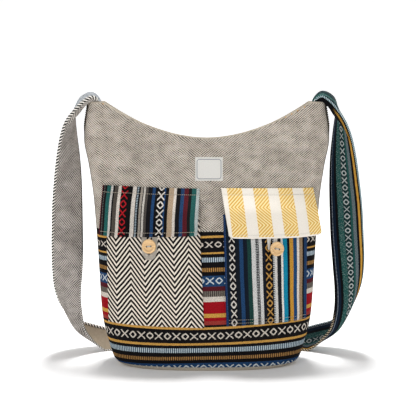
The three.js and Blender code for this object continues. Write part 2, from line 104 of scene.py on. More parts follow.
# Face (-1 front, 1 back), centre across and up, spread across and up, depth.
DENTS = (
    (-1, -0.62, 0.8, 0.22, 0.12, 0.045),
    (-1, 0.6, 0.79, 0.2, 0.12, 0.05),
    (-1, 0.02, 0.66, 0.3, 0.08, 0.03),
    (-1, -0.3, 0.76, 0.14, 0.1, -0.035),
    (-1, 0.34, 0.74, 0.15, 0.1, -0.03),
    (1, -0.5, 0.72, 0.2, 0.14, 0.07),
    (1, 0.46, 0.66, 0.22, 0.13, 0.08),
    (1, 0.0, 0.5, 0.3, 0.12, 0.06),
)
# Soft folds that run down from the peaks: face, centre across and up, lean of the fold in
# degrees, its spread along and across, and depth, in the same shares.
FOLDS = (
    (-1, -0.66, 0.875, 52, 0.17, 0.028, 0.030),
    (-1, -0.5, 0.815, 46, 0.2, 0.032, -0.026),
    (-1, -0.74, 0.77, 68, 0.16, 0.03, 0.028),
    (-1, 0.68, 0.87, -54, 0.17, 0.028, 0.030),
    (-1, 0.54, 0.83, -48, 0.18, 0.032, -0.026),
    (-1, 0.78, 0.78, -72, 0.17, 0.03, 0.032),
    (1, -0.6, 0.84, 50, 0.2, 0.035, 0.030),
    (1, 0.62, 0.82, -52, 0.2, 0.035, 0.030),
)


def read(table, place, column):
    """A column of a table at places in its first one: k + t a + t²(3r - 2a - b) + t³(a + b - 2r),
    with k the row before, r the rise to the next, and a, b the slopes at both times their gap."""
    keys, values = table[:, 0], table[:, column]
    last = len(keys) - 1
    n = np.arange(last + 1)
    after, before = np.minimum(n + 1, last), np.maximum(n - 1, 0)
    slope = (values[after] - values[before]) / (keys[after] - keys[before])
    k = np.clip(np.searchsorted(keys, place, side="right") - 1, 0, last - 1)
    span = keys[k + 1] - keys[k]
    t = np.clip((place - keys[k]) / span, 0, 1)
    rise, a, b = values[k + 1] - values[k], slope[k] * span, slope[k + 1] * span
    return values[k] + t * a + t**2 * (3 * rise - 2 * a - b) + t**3 * (a + b - 2 * rise)


def section(up):
    """Half width, half depth and squareness of the body at heights."""
    share = np.clip(np.asarray(up, float) / PEAK, 0, 1)
    wide = HALF_WIDTH * read(SECTIONS, share, 1)
    deep = HALF_DEPTH * read(SECTIONS, share, 2)
    return wide, deep, read(SECTIONS, share, 3)


def dent(face, across, up):
    """Sum of depth * exp(-x² - z²) over the dents and folds of one face, x and z in their
    spreads, along and across the fold for a fold."""
    depth = np.zeros(np.broadcast(across, up).shape)
    for side, x0, z0, wide, tall, deep in DENTS:
        x = (across / HALF_WIDTH - x0) / wide
        z = (up / PEAK - z0) / tall
        depth = depth + np.where(face == side, deep * HALF_DEPTH * np.exp(-x * x - z * z), 0)
    for side, x0, z0, lean, far, near, deep in FOLDS:
        x = (across / HALF_WIDTH - x0) * HALF_WIDTH / PEAK
        z = up / PEAK - z0
        cos, sin = math.cos(math.radians(lean)), math.sin(math.radians(lean))
        along, beside = (x * cos - z * sin) / far, (x * sin + z * cos) / near
        fold = deep * HALF_DEPTH * np.exp(-along**2 - beside**2)
        depth = depth + np.where(face == side, fold, 0)
    return depth


def body_point(angle, up, inset=0.0):
    """x = (w - inset) cos^(2/n), y = (d - inset) sin^(2/n), both with their signs, less the dent."""
    wide, deep, square = section(up)
    cos, sin = np.cos(angle), np.sin(angle)
    x = (wide - inset) * np.sign(cos) * np.abs(cos) ** (2 / square)
    y = (deep - inset) * np.sign(sin) * np.abs(sin) ** (2 / square)
    push = dent(np.sign(sin), x, up) * np.minimum(1, 1.5 * np.abs(sin))
    return np.stack([x, y - np.sign(sin) * push, np.broadcast_to(up, x.shape)], -1)


def rim_up(angle):
    """Height of the rim: mouth + (peak - mouth) |x / reach|^1.85, less a sag on the back."""
    up = np.full(np.shape(angle), PEAK)
    for _ in range(12):
        x = body_point(angle, up)[..., 0]
        out = np.minimum(1, np.abs(x) / PEAK_REACH)
        sag = np.where(np.sin(angle) > 0, BACK_DROP * (1 - out**2), 0)
        up = MOUTH - sag + (PEAK - MOUTH) * out**1.85
    return up


def front_y(across, up):
    """y = -d (1 - s^n)^(1/n) with s = |x| / w up to a reach, then straight on, plus the dent."""
    reach = 0.9
    wide, deep, square = section(up)
    share = np.minimum(np.abs(across) / wide, reach)
    rest = 1 - share**square
    slope = deep / wide * share ** (square - 1) * rest ** (1 / square - 1)
    past = np.maximum(0, np.abs(across) - reach * wide)
    return -deep * rest ** (1 / square) + past * slope + dent(-1, across, up)


# Cloth is made as grids of points with a UV in metres of cloth. A wall turns over its top
# edge in a small round fold and comes down again as the lining.
def unit(vectors):
    return vectors / np.maximum(np.linalg.norm(vectors, axis=-1, keepdims=True), 1e-12)


def smooth(value, start, end):
    """3t^2 - 2t^3 between start and end."""
    t = np.clip((value - start) / (end - start), 0, 1)
    return t * t * (3 - 2 * t)


def run(points, axis):
    """Length of cloth from the first row or column to each point."""
    steps = np.linalg.norm(np.diff(points, axis=axis), axis=-1)
    start = np.zeros_like(np.take(steps, [0], axis=axis))
    return np.concatenate([start, np.cumsum(steps, axis=axis)], axis=axis)


def add_cloth(name, grids, materials, slot, *nodes):
    """A smooth piece from grids of (points, uv, material index for each row of faces)."""
    spots, faces, uvs, index, count = [], [], [], [], 0
    for points, uv, which in grids:
        rows, columns = points.shape[:2]
        at = np.arange(rows * columns).reshape(rows, columns)
        quads = np.stack([at[:-1, :-1], at[:-1, 1:], at[1:, 1:], at[1:, :-1]], -1).reshape(-1, 4)
        spots.append(points.reshape(-1, 3))
        faces.append(quads + count)
        uvs.append(uv.reshape(-1, 2)[quads.reshape(-1)])
        index.append(np.repeat(np.broadcast_to(which, rows - 1), columns - 1))
        count += rows * columns
    mesh = bpy.data.meshes.new(name)
    mesh.from_pydata(np.concatenate(spots), [], np.concatenate(faces))
    layer = mesh.uv_layers.new(name="cloth")
    layer.data.foreach_set("uv", np.concatenate(uvs).astype(np.float32).ravel())
    for material in materials:
        mesh.materials.append(material)
    mesh.polygons.foreach_set("material_index", np.concatenate(index).astype(np.int32))
    mesh.polygons.foreach_set("use_smooth", np.ones(len(mesh.polygons), bool))
    mesh.update()
    made = bpy.data.objects.new(name, mesh)
    bpy.context.collection.objects.link(made)
    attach(made, "root")
    if nodes:
        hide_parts(*nodes)


def folded(outer, inner):
    """Outer rows, then a half circle over the top edge from outer to inner, then inner rows."""
    middle, half = (outer[-1] + inner[-1]) / 2, (outer[-1] - inner[-1]) / 2
    reach = np.linalg.norm(half, axis=-1, keepdims=True)
    upward = unit(outer[-1] - outer[-2])
    turn = np.linspace(0, np.pi, 7)[1:-1, None, None]
    fold = middle + np.cos(turn) * half + np.sin(turn) * reach * upward
    return np.concatenate([outer, fold, inner[::-1]])


def tube(path, radius, around=10):
    """Rings of radius r about a path: p + r (cos a s + sin a n), with s level where the path
    isn't steep, and both square to the path. Its UV is (turn, length)."""
    travel = unit(np.gradient(path, axis=0))
    side = unit(np.cross(travel, np.where(np.abs(travel[:, 2:]) > 0.9, (1, 0, 0), (0, 0, 1))))
    up = np.cross(side, travel)
    angle = np.linspace(0, 2 * np.pi, around + 1)[None, :, None]
    wide = np.broadcast_to(radius, len(path))[:, None, None]
    ring = np.cos(angle) * side[:, None] + np.sin(angle) * up[:, None]
    length = np.broadcast_to(run(path, 0)[:, None], (len(path), around + 1))
    turn = np.broadcast_to(angle[..., 0] / (2 * np.pi), length.shape)
    return path[:, None] + wide * ring, np.stack([turn, length], -1)


def stitches(name, lines, pitch, share, radius, material, slot):
    """Threads along lines of points on the cloth, each a spindle of length l = share * pitch
    from its middle m: m + cos(a) t l/2 + r sin(a) (cos(b) n + sin(b) s)."""
    grids = []
    a = np.linspace(0, np.pi, 7)[:, None, None]
    b = np.linspace(0, 2 * np.pi, 7)[None, :, None]
    for line in lines:
        length = run(line, 0)
        count = max(1, int(length[-1] / pitch))
        for at in (np.arange(count) + 0.5) * length[-1] / count:
            ends = np.array([at - pitch / 5, at, at + pitch / 5])
            spots = np.stack([np.interp(ends, length, line[:, k]) for k in range(3)], -1)
            travel = unit(spots[2] - spots[0])
            side = unit(np.cross(travel, (0.0, -1.0, 0.2)))
            ring = np.cos(b) * np.cross(side, travel) + np.sin(b) * side
            points = spots[1] + np.cos(a) * travel * share * pitch / 2 + radius * np.sin(a) * ring
            uv = np.concatenate([b + 0 * a, a + 0 * b], -1) * radius
            grids.append((points, uv, 0))
    add_cloth(name, grids, [material], slot)


# Materials are woven from the cloth's own UV. A Wire is one value in a material: sums and
# products of wires add Math nodes, and node() adds any other node.
class Wire:
    def __init__(self, tree, socket=None):
        self.tree = tree
        self.socket = socket

    def node(self, kind, settings=None, inputs=None, output=0):
        made = self.tree.nodes.new("ShaderNode" + kind)
        for key, value in (settings or {}).items():
            setattr(made, key, value)
        for key, value in (inputs or {}).items():
            if isinstance(value, Wire):
                self.tree.links.new(value.socket, made.inputs[key])
            else:
                made.inputs[key].default_value = value
        return Wire(self.tree, made.outputs[output])

    def math(self, operation, *values):
        return self.node("Math", {"operation": operation}, dict(enumerate(values)))

    def __add__(self, other):
        return self.math("ADD", self, other)

    def __radd__(self, other):
        return self.math("ADD", other, self)

    def __sub__(self, other):
        return self.math("SUBTRACT", self, other)

    def __rsub__(self, other):
        return self.math("SUBTRACT", other, self)

    def __mul__(self, other):
        return self.math("MULTIPLY", self, other)

    def __rmul__(self, other):
        return self.math("MULTIPLY", other, self)

    def __truediv__(self, other):
        return self.math("DIVIDE", self, other)

    def __pow__(self, other):
        return self.math("POWER", self, other)

    def __lt__(self, other):
        return self.math("LESS_THAN", self, other)

    def __gt__(self, other):
        return self.math("GREATER_THAN", self, other)

    def __abs__(self):
        return self.math("ABSOLUTE", self)

    def wave(self, period):
        """Sine with that period."""
        return self.math("SINE", self * (2 * math.pi / period))

    def fold(self, period):
        """A triangle wave: 0 at whole periods, 1 halfway between."""
        return self.math("PINGPONG", self * (2 / period), 1.0)

    def most(self, other):
        """The greater of the two."""
        return self.math("MAXIMUM", self, other)

    def step(self, start, end):
        """0 before start and 1 after end, with a soft turn between."""
        settings = {"interpolation_type": "SMOOTHSTEP"}
        return self.node("MapRange", settings, {"Value": self, "From Min": start, "From Max": end})

    def mix(self, colour, other):
        """From colour at 0 to other at 1."""
        return self.node("Mix", {"data_type": "RGBA"}, {"Factor": self, 6: colour, 7: other}, 2)

    def bands(self, stripes, which=1):
        """Flat stripes of (start, colour, ...), from a value between 0 and 1."""
        made = self.tree.nodes.new("ShaderNodeValToRGB")
        ramp = made.color_ramp
        ramp.interpolation = "CONSTANT"
        while len(ramp.elements) < len(stripes):
            ramp.elements.new(1.0)
        for element, stripe in zip(ramp.elements, stripes):
            element.position = stripe[0]
            element.color = stripe[min(which, len(stripe) - 1)]
        self.tree.links.new(self.socket, made.inputs[0])
        return Wire(self.tree, made.outputs[0])


def rgb(red, green, blue):
    """Linear colour from the 0 to 255 steps of a paint chart."""
    share = np.array([red, green, blue]) / 255
    linear = np.where(share <= 0.04045, share / 12.92, ((share + 0.055) / 1.055) ** 2.4)
    return (*[float(value) for value in linear], 1.0)


def weave(name, paint, rough=0.92, relief=0.0003, specular=0.06):
    """A cloth material: paint(u, v, grain) gives its colour and its height over `relief`."""
    material = bpy.data.materials.new(name)
    material.use_nodes = True
    tree = material.node_tree
    shader = tree.nodes["Principled BSDF"]
    start = Wire(tree)
    place = start.node("UVMap", {"uv_map": "cloth"})
    u = start.node("SeparateXYZ", None, {0: place})
    v = Wire(tree, u.socket.node.outputs[1])

    def grain(wide, tall=None, detail=2.0, seed=0.0):
        """Noise from 0 to 1 with lumps of that size, in metres of cloth."""
        spot = start.node("CombineXYZ", None, {0: u * (1 / wide), 1: v * (1 / (tall or wide)), 2: seed})
        return start.node("TexNoise", None, {"Vector": spot, "Scale": 1.0, "Detail": detail})

    colour, height = paint(u, v, grain)
    tree.links.new(colour.socket, shader.inputs["Base Color"])
    bump = start.node("Bump", None, {"Height": height, "Distance": relief, "Strength": 1.0})
    tree.links.new(bump.socket, shader.inputs["Normal"])
    shader.inputs["Roughness"].default_value = rough
    shader.inputs["Specular IOR Level"].default_value = specular
    return material


def threads(u, v, pitch):
    """Plain weave: threads go over and under in a chequer."""
    return u.wave(2 * pitch) * v.wave(2 * pitch)


# Hemp for the upper body: a coarse basket weave of pale and dark yarns, about 4 by 3.4 mm,
# whose diagonals lean left on the left half and right on the right half. The dark yarns come
# through more in some places than in others. The lining is plain beige cotton.
def hemp_basket(u, v, wide, tall, lean, grain, light, dark):
    """Two diagonal waves make the chequer, and `lean` from 0 to 1 gives the stronger one."""
    wobble = (grain(0.02) - 0.5) * 0.8
    across, up = u * (1 / wide) + wobble, v * (1 / tall) + wobble
    ridge = (up + across).wave(1.0) * (1 - 0.6 * lean) + (up - across).wave(1.0) * (0.4 + 0.6 * lean)
    yarn = grain(0.0012, None, 1.0, 3.0)
    fleck = (ridge * 0.9 + (yarn - 0.5) * 2.2).step(-0.3, 0.45)
    cloud = grain(0.016, 0.012, 2.0, 11.0).step(0.36, 0.66)
    base = grain(0.03, None, 3.0, 7.0).step(0.3, 0.7).mix(light[0], light[1])
    return (fleck * (cloud * 0.32 + 0.68)).mix(base, dark), ridge * -0.5 + yarn * 0.8


def paint_hemp(u, v, grain):
    lean = (u + (grain(0.05, 0.03) - 0.5) * 0.12).step(-0.012, 0.012)
    tones = (rgb(196, 186, 173), rgb(220, 210, 197))
    return hemp_basket(u, v, 0.0041, 0.0034, lean, grain, tones, rgb(42, 36, 31))


def paint_lining(u, v, grain):
    tone = grain(0.004, None, 3.0)
    return tone.mix(rgb(122, 112, 98), rgb(150, 139, 122)), threads(u, v, 0.0006)


hemp = weave("hemp", paint_hemp, relief=0.0005)
lining = weave("lining", paint_lining)

# The lower body's cloth: level bands, some barred, and rows of woven rings and crosses.
# The table gives how far below the seam each band starts, in mm, its colour, and the
# colour between its bars. The bands rise and tilt a little towards the sides.
BLACK = rgb(17, 16, 18)
GOLD = rgb(204, 155, 78)
CREAM = rgb(214, 205, 193)
WHITE = rgb(226, 222, 214)
BLUE = rgb(33, 65, 104)
MAROON = rgb(84, 28, 36)
RED = rgb(156, 17, 29)
LOOM_DEPTH = 0.215
LOOM_ROUND = 0.6618
LOOM_TILT = 0.0038
LOOM_CURVE = 0.039
LOOM_LEAN = 0.0073
LOW_BANDS = 0.142
LOW_DROP = 0.18
LOOM_RAGGED = 0.0012
LOOM = (
    (0.0, BLACK),
    (5.1, GOLD),
    (8.5, BLACK),
    (29.5, GOLD),
    (32.5, BLACK),
    (37.3, rgb(196, 212, 220), rgb(28, 50, 78)),
    (44.4, BLACK),
    (52.4, rgb(190, 142, 80), rgb(34, 26, 20)),
    (58.1, BLACK),
    (64.5, BLUE),
    (80.3, MAROON),
    (86.8, rgb(126, 118, 108), rgb(54, 48, 46)),
    (95.3, CREAM),
    (103.1, RED),
    (120.1, rgb(204, 154, 72)),
    (126.3, RED),
    (131.3, rgb(152, 56, 50)),
    (137.6, BLACK),
    (140.5, GOLD),
    (143.9, BLACK),
    (164.4, GOLD),
    (167.6, BLACK),
    (171.4, rgb(190, 206, 212), rgb(34, 58, 84)),
    (178.6, BLACK),
    (184.1, rgb(176, 132, 78), rgb(34, 26, 20)),
    (189.3, BLACK),
    (194.2, BLUE),
)
PALE_BLUE = rgb(206, 214, 216)
# Rows of rings and crosses: place along, depth, pitch, half width, half height, colour.
LOOM_ROWS = (
    (0.0169, 0.0190, 0.0268, 0.0052, 0.0044, CREAM),
    (0.0184, 0.0722, 0.0270, 0.0053, 0.0047, PALE_BLUE),
    (0.0207, 0.1544, 0.0261, 0.0053, 0.0047, CREAM),
    (0.0215, 0.2030, 0.0259, 0.0053, 0.0050, PALE_BLUE),
)


def striped(place, wide, bands, which=1):
    """Flat stripes at a place across cloth `wide` metres wide, from a table with starts in mm."""
    return (place / wide).bands([(start / 1000 / wide, *tints) for start, *tints in bands], which)


def dotted(colour, u, dots, columns):
    """Columns of dots on a colour: place, half width and tint of each."""
    for at, half, tint in columns:
        colour = ((abs(u - at) < half) * dots).mix(colour, tint)
    return colour


def rings_and_crosses(u, w, pitch, wide, tall):
    """A row of woven rings at whole pitches with crosses between, w across the row. A ring is
    0.52 < a^p + b^p < 1.06 and a cross |c - b| < 0.23, with a, b, c as shares of its half size."""
    u = u.math("SNAP", u + 0.0004, 0.0008)
    w = w.math("SNAP", w + 0.0004, 0.0008)
    a = u.fold(pitch) * (pitch / 2 / wide)
    c = (u + pitch / 2).fold(pitch) * (pitch / 2 / wide)
    b = abs(w) * (1 / tall)
    round_ = a**1.35 + b**1.35
    ring = (round_ > 0.52) * (round_ < 1.06)
    cross = (abs(c - b) < 0.23) * (b < 1.05) * (c < 1.15)
    return ring.most(cross)


def hand_loomed(colour, u, v, grain):
    """Dark warp shows in specks between the coloured yarns."""
    yarn = grain(0.0010, 0.0013, 1.0, 5.0)
    speck = (0.54 - yarn).step(0.0, 0.2) * 0.5
    return speck.mix(colour, rgb(14, 13, 15)), threads(u, v, 0.0007) * 0.6 + yarn


def paint_loom(u, v, grain):
    """v becomes v (1 + curve s² - lean s) - tilt s + drop s² m, with s = sin(2 pi u / round)
    and m how far the place is below the start of the low bands."""
    ragged = (grain(0.0011, 0.004) - 0.5) * LOOM_RAGGED
    side = u.wave(LOOM_ROUND)
    low = (v * -1 - LOW_BANDS).most(0) * LOW_DROP
    v = v * (side * (side * LOOM_CURVE - LOOM_LEAN) + 1) - side * LOOM_TILT + side * side * low
    depth = v * -1 + ragged
    bars = ((u + (grain(0.004) - 0.5) * 0.0006).wave(0.0031)).step(-0.2, 0.0)
    colour = bars.mix(striped(depth, LOOM_DEPTH, LOOM, 2), striped(depth, LOOM_DEPTH, LOOM))
    for start, below, pitch, wide, tall, tint in LOOM_ROWS:
        colour = rings_and_crosses(u - start, v + below, pitch, wide, tall).mix(colour, tint)
    return hand_loomed(colour, u, v, grain)


loom = weave("loom_stripes", paint_loom)

# Upper body: hemp from the seam to the crescent rim, lined inside, front and back in one.
SEAM_GAP = 0.0003
AROUND = 360
FRONT = 3 * AROUND // 4
turns = np.linspace(0, 2 * np.pi, AROUND + 1)[None, :]


def body_wall(name, low, high, rows, start, materials, slot, *nodes):
    """A ring of body cloth between two heights, either of which may follow the angle. Its u is
    the level way round from the front's middle, and its v the cloth up the front's middle from
    start to the same height."""
    rises = np.linspace(0, 1, rows)[:, None]
    heights = low + rises * (high - low) + 0 * turns
    outer = body_point(turns, heights)
    wall = folded(outer, body_point(turns, heights, BODY_CLOTH))
    across = run(wall * (1, 1, 0), 1)
    across = across - across[:, FRONT:FRONT + 1]
    levels = np.linspace(0, PEAK + 0.01, 400)
    profile = body_point(np.full(400, 1.5 * np.pi), levels)[..., None, :]
    climb = run(profile, 0)[:, 0]
    upward = np.interp(wall[..., 2], levels, climb) - np.interp(start, levels, climb)
    which = np.arange(len(wall) - 1) >= rows + 2
    add_cloth(name, [(wall, np.stack([across, upward], -1), which)], materials, slot, *nodes)


body_wall(
    "hemp_upper_body", SEAM + SEAM_GAP / 2, rim_up(turns), 90, SEAM, [hemp, lining], "hemp",
    "upper_front", "upper_back",
)

# Lower body: the striped cloth from the base's edge to the seam.
body_wall(
    "striped_lower_body", BASE_EDGE + SEAM_GAP, SEAM - SEAM_GAP / 2, 110, SEAM, [loom, lining],
    "loom_stripes", "lower_front", "lower_back",
)


# The rim's folded edge is a lighter, smoother bead of the same hemp, its hem is stitched
# 16 mm below it, and small orange bars hold it near the peaks.
def paint_edge(u, v, grain):
    tone = grain(0.002, None, 3.0)
    return tone.mix(rgb(190, 178, 162), rgb(216, 206, 190)), threads(u, v, 0.0006)


def plain_thread(*tint):
    """A twisted thread of one colour."""
    def paint(u, v, grain):
        tone = grain(0.0006)
        return tone.mix(rgb(*[0.8 * value for value in tint]), rgb(*tint)), (u + v).wave(0.0005)
    return paint


edge_cloth = weave("folded_edge", paint_edge)
beige_thread = weave("beige_thread", plain_thread(196, 184, 166), relief=0.0001)
white_thread = weave("white_thread", plain_thread(232, 228, 220), relief=0.0001)
orange_thread = weave("orange_thread", plain_thread(240, 184, 108), relief=0.0001)
turn = turns[0]
rim = (body_point(turn, rim_up(turn)) + body_point(turn, rim_up(turn), BODY_CLOTH)) / 2
add_cloth("rim_fold", [(*tube(rim, np.full(len(rim), 0.0015)), 0)], [edge_cloth], "hemp")
HEM = 0.016
hem = []
for low in (0.12, np.pi + 0.12):
    along = turn[(turn > low) & (turn < low + 2.9)]
    hem.append(body_point(along, rim_up(along) - HEM))
stitches("rim_hem_stitches", hem, 0.0042, 0.55, 0.0004, beige_thread, "hemp")
bars = []
for across, below in ((-0.152, 0.001), (0.1437, 0.0004), (0.1336, 0), (0.1248, 0), (0.116, 0)):
    x = across + np.linspace(-0.0012, 0.0012, 5)
    up = MOUTH + (PEAK - MOUTH) * np.minimum(1, np.abs(x) / PEAK_REACH) ** 1.85 - below
    bars.append(np.stack([x, front_y(x, up) - 0.0012, up], -1))
stitches("rim_bars", bars, 0.0024, 0.95, 0.0008, orange_thread, "hemp")


# Side seams: the front and back are joined by a narrow dark overlocked seam, which shows
# as rough loops near the peaks.
def paint_overlock(u, v, grain):
    loops = (v + u * 0.002).wave(0.002)
    rough = grain(0.3, 0.0016)
    return (loops * 0.4 + rough).step(0.4, 0.95).mix(rgb(24, 21, 20), rgb(104, 92, 80)), loops + rough


overlock = weave("overlock", paint_overlock, relief=0.0006)
for side, hand in (("left", -1), ("right", 1)):
    up = np.linspace(BASE_EDGE + 0.002, PEAK - 0.001, 240)
    path = body_point(np.full(240, 0.0 if hand > 0 else np.pi), up)
    radius = 0.0010 + 0.0018 * smooth(up, 0.344, 0.364)
    radius = radius * (1 + 0.25 * np.sin(up * 2 * np.pi / 0.0032) * smooth(up, 0.352, 0.366))
    add_cloth(side + "_side_seam", [(*tube(path, radius), 0)], [overlock], "hemp")

# Base: a flat oval of smoother hemp whose edge turns up to meet the stripes, stitched round.
# The table runs from the middle below round the edge to the middle above: share of the
# outline's reach, and height.
BASE = np.array([
    (0.02, 0), (0.3, 0), (0.6, 0), (0.85, 0), (0.96, 0), (0.99, 0.0003), (1, 0.0012), (1, 0.003),
    (1, 0.005), (1, 0.006), (0.992, 0.006), (0.96, 0.0026), (0.9, 0.0024), (0.6, 0.0024),
    (0.3, 0.0024), (0.02, 0.0024),
])
reach, level = BASE[:, :1], BASE[:, 1:]
ring = body_point(turns, level + 0 * turns)
ring[..., :2] *= reach[..., None]
length = run(ring, 0)
across = np.where(reach > 0.985, run(ring[7:8], 1), ring[..., 0])
uv = np.stack([across, length], -1)
add_cloth("hemp_base", [(ring, uv, 0)], [edge_cloth], "hemp", "base_panel")
path = body_point(turn, np.full(len(turn), 0.0048))
stitches("base_stitches", [path * (1.002, 1.004, 1)], 0.0042, 0.6, 0.0004, beige_thread, "hemp")


# A patch of cloth sewn on the front has rounded edges and its lining behind. Its grid is
# closer along its edges.
def shares(length, count=60, fine=0.003):
    """Shares from 0 to 1, with seven close ones within `fine` metres of each end."""
    near = np.linspace(0, fine / length, 8)[:-1]
    return np.concatenate([near, np.linspace(fine / length, 1 - fine / length, count), 1 - near[::-1]])


def add_patch(name, corners, off, thick, materials, slot, *nodes, bend=0.0, corner=0.0):
    """A patch between four corners (across, up: top left, top right, bottom left, bottom right)
    with faces y = front - off(s, t) - T/2 (1 +- k), k = sqrt(1 - (1 - e/r)^2) for a distance e
    from the nearest edge, up to r. Its lower corners are rounded, and its sides bend in."""
    top_left, top_right, low_left, low_right = np.array(corners, float) / 1000
    wide = (np.linalg.norm(top_right - top_left) + np.linalg.norm(low_right - low_left)) / 2
    tall = (np.linalg.norm(top_left - low_left) + np.linalg.norm(top_right - low_right)) / 2
    s, t = shares(wide)[None, :, None], shares(tall)[:, None, None]
    low = np.clip(1 - t * tall / max(corner, 1e-6), 0, 1)
    inset = corner * (1 - np.sqrt(1 - low**2)) + bend * np.sin(np.pi * t)
    held = (s * (wide - 2 * inset) + inset) / wide
    left = low_left + (top_left - low_left) * t
    right = low_right + (top_right - low_right) * t
    spot = left + (right - left) * held
    x, up = spot[..., 0], spot[..., 1]
    s, t, held = s[..., 0], t[..., 0], held[..., 0]
    e = np.minimum(np.minimum(s, 1 - s) * wide, np.minimum(t, 1 - t) * tall)
    k = np.sqrt(1 - (1 - np.clip(e / (0.7 * thick), 0, 1)) ** 2)
    middle = front_y(x, up) - off(held, t + 0 * held, x, up) - thick / 2
    uv = np.stack([held * wide + 0 * t, t * tall + 0 * held], -1)
    face = np.stack([x, middle - k * thick / 2, up], -1)
    back = np.stack([x, middle + k * thick / 2, up], -1)
    add_cloth(name, [(face, uv, 0), (back[:, ::-1], uv[:, ::-1], 1)], materials, slot, *nodes)
    return face


def patch_line(face, start, end, out=0.0002):
    """A line on a patch's face from one (s, t) to another, standing out a little."""
    wide = np.linalg.norm(face[0, -1] - face[0, 0])
    tall = np.linalg.norm(face[-1, 0] - face[0, 0])
    s_all, t_all = shares(wide), shares(tall)
    way = np.linspace(0, 1, 80)
    s, t = start[0] + (end[0] - start[0]) * way, start[1] + (end[1] - start[1]) * way
    i = np.clip(np.searchsorted(s_all, s) - 1, 0, len(s_all) - 2)
    j = np.clip(np.searchsorted(t_all, t) - 1, 0, len(t_all) - 2)
    a = ((s - s_all[i]) / (s_all[i + 1] - s_all[i]))[:, None]
    b = ((t - t_all[j]) / (t_all[j + 1] - t_all[j]))[:, None]
    low = face[j, i] * (1 - a) + face[j, i + 1] * a
    high = face[j + 1, i] * (1 - a) + face[j + 1, i + 1] * a
    return low * (1 - b) + high * b - (0, out, 0)


# Pockets: each stands off the body along its open top and is sewn down on three sides.
PATCH_GAP = 0.0005
POCKET_PUFF = 0.011
POCKET_CLOTH = 0.002


def pocket_lift(left, right, bottom, top):
    """Gap + puff sin(pi s)^0.7 smooth(rise, -0.02, 0.35) for the frame's pocket in mm."""
    def lift(x, up):
        s = np.clip((x * 1000 - left) / (right - left), 0, 1)
        rise = (up * 1000 - bottom) / (top - bottom)
        return PATCH_GAP + POCKET_PUFF * np.sin(np.pi * s) ** 0.7 * smooth(rise, -0.02, 0.35)
    return lift


left_lift = pocket_lift(-147, -5.5, 67, 229)
right_lift = pocket_lift(25, 148.5, 70, 233)


# Left pocket: cream and black herringbone, its points 43 mm apart.
POINTS_APART = 0.043


def paint_herringbone(u, v, grain):
    wobble = (grain(0.03, 0.05) - 0.5) * 0.004
    peak = (u + wobble - 0.036).fold(POINTS_APART) * (POINTS_APART / 2)
    line = (v + peak * 1.3 + (grain(0.0016) - 0.5) * 0.0008).wave(0.0082)
    light = line.step(-0.02, 0.4)
    yarn = grain(0.001, 0.001, 1.0, 2.0)
    cream = yarn.mix(rgb(196, 184, 168), rgb(240, 232, 220))
    return light.mix(yarn.mix(rgb(12, 10, 10), rgb(40, 36, 34)), cream), line * 0.5 + yarn


herringbone = weave("herringbone", paint_herringbone, relief=0.0005)
LEFT_POCKET = ((-148, 229), (-10.5, 229), (-146, 70.5), (-3.5, 66.5))
add_patch(
    "herringbone_pocket", LEFT_POCKET, lambda s, t, x, up: left_lift(x, up), POCKET_CLOTH,
    [herringbone, lining], "herringbone", "chevron_pocket",
)

# Right pocket: upright stripes of hand-loom cloth with two columns of rings and crosses,
# two of light dots, and a band with a toothed edge. Starts are in mm from the left edge.
POCKET_WIDE = 0.1215
POCKET_BOW = 0.09
POCKET_BANDS = (
    (0.0, rgb(26, 52, 92)),
    (3.0, rgb(18, 28, 40)),
    (8.2, rgb(16, 15, 18)),
    (17.0, rgb(20, 26, 34)),
    (22.8, BLUE),
    (28.6, rgb(18, 26, 38)),
    (34.9, rgb(28, 62, 58)),
    (41.2, rgb(204, 203, 201)),
    (47.1, rgb(16, 15, 18)),
    (52.0, rgb(204, 203, 201)),
    (56.7, rgb(22, 26, 34)),
    (61.4, rgb(16, 15, 18)),
    (72.0, rgb(24, 24, 28)),
    (74.5, rgb(206, 203, 198)),
    (78.2, rgb(32, 33, 36)),
    (84.0, WHITE),
    (86.8, rgb(22, 132, 164)),
    (92.8, rgb(16, 15, 18)),
    (95.9, rgb(196, 144, 56)),
    (101.4, rgb(34, 70, 112)),
    (106.5, rgb(222, 214, 202)),
    (110.0, rgb(150, 126, 98)),
    (114.4, rgb(20, 20, 24)),
    (117.2, rgb(34, 60, 96)),
)


def paint_pocket(u, v, grain):
    ragged = (grain(0.003, 0.0012) - 0.5) * 0.001
    sway = (grain(0.2, 0.05, 0.0) - 0.5) * 0.002
    part = u * (1 / POCKET_WIDE)
    u = u + v * part * (1 - part) * POCKET_BOW
    colour = striped(u + ragged + sway, POCKET_WIDE, POCKET_BANDS)
    for at, tint in ((0.0121, rgb(216, 210, 202)), (0.0662, rgb(188, 142, 74))):
        colour = rings_and_crosses(v - 0.0871, u + sway - at, 0.0273, 0.0056, 0.0044).mix(colour, tint)
    pale = rgb(196, 198, 198)
    colour = dotted(colour, u + sway, v.fold(0.0024).step(0.45, 0.6), (
        (0.0025, 0.0004, rgb(70, 92, 128)), (0.0484, 0.0006, pale), (0.0506, 0.0006, pale),
    ))
    tooth = (0.0736, 0.0013, rgb(206, 207, 206))
    colour = dotted(colour, u + sway, v.fold(0.0028).step(0.45, 0.55), [tooth])
    return hand_loomed(colour, u, v, grain)


pocket_stripes = weave("pocket_stripes", paint_pocket)
RIGHT_POCKET = ((24, 233), (148, 233), (29, 69), (148.5, 75))
right_pocket = add_patch(
    "striped_pocket_cloth", RIGHT_POCKET, lambda s, t, x, up: right_lift(x, up), POCKET_CLOTH,
    [pocket_stripes, lining], "pocket_stripes", "striped_pocket",
)


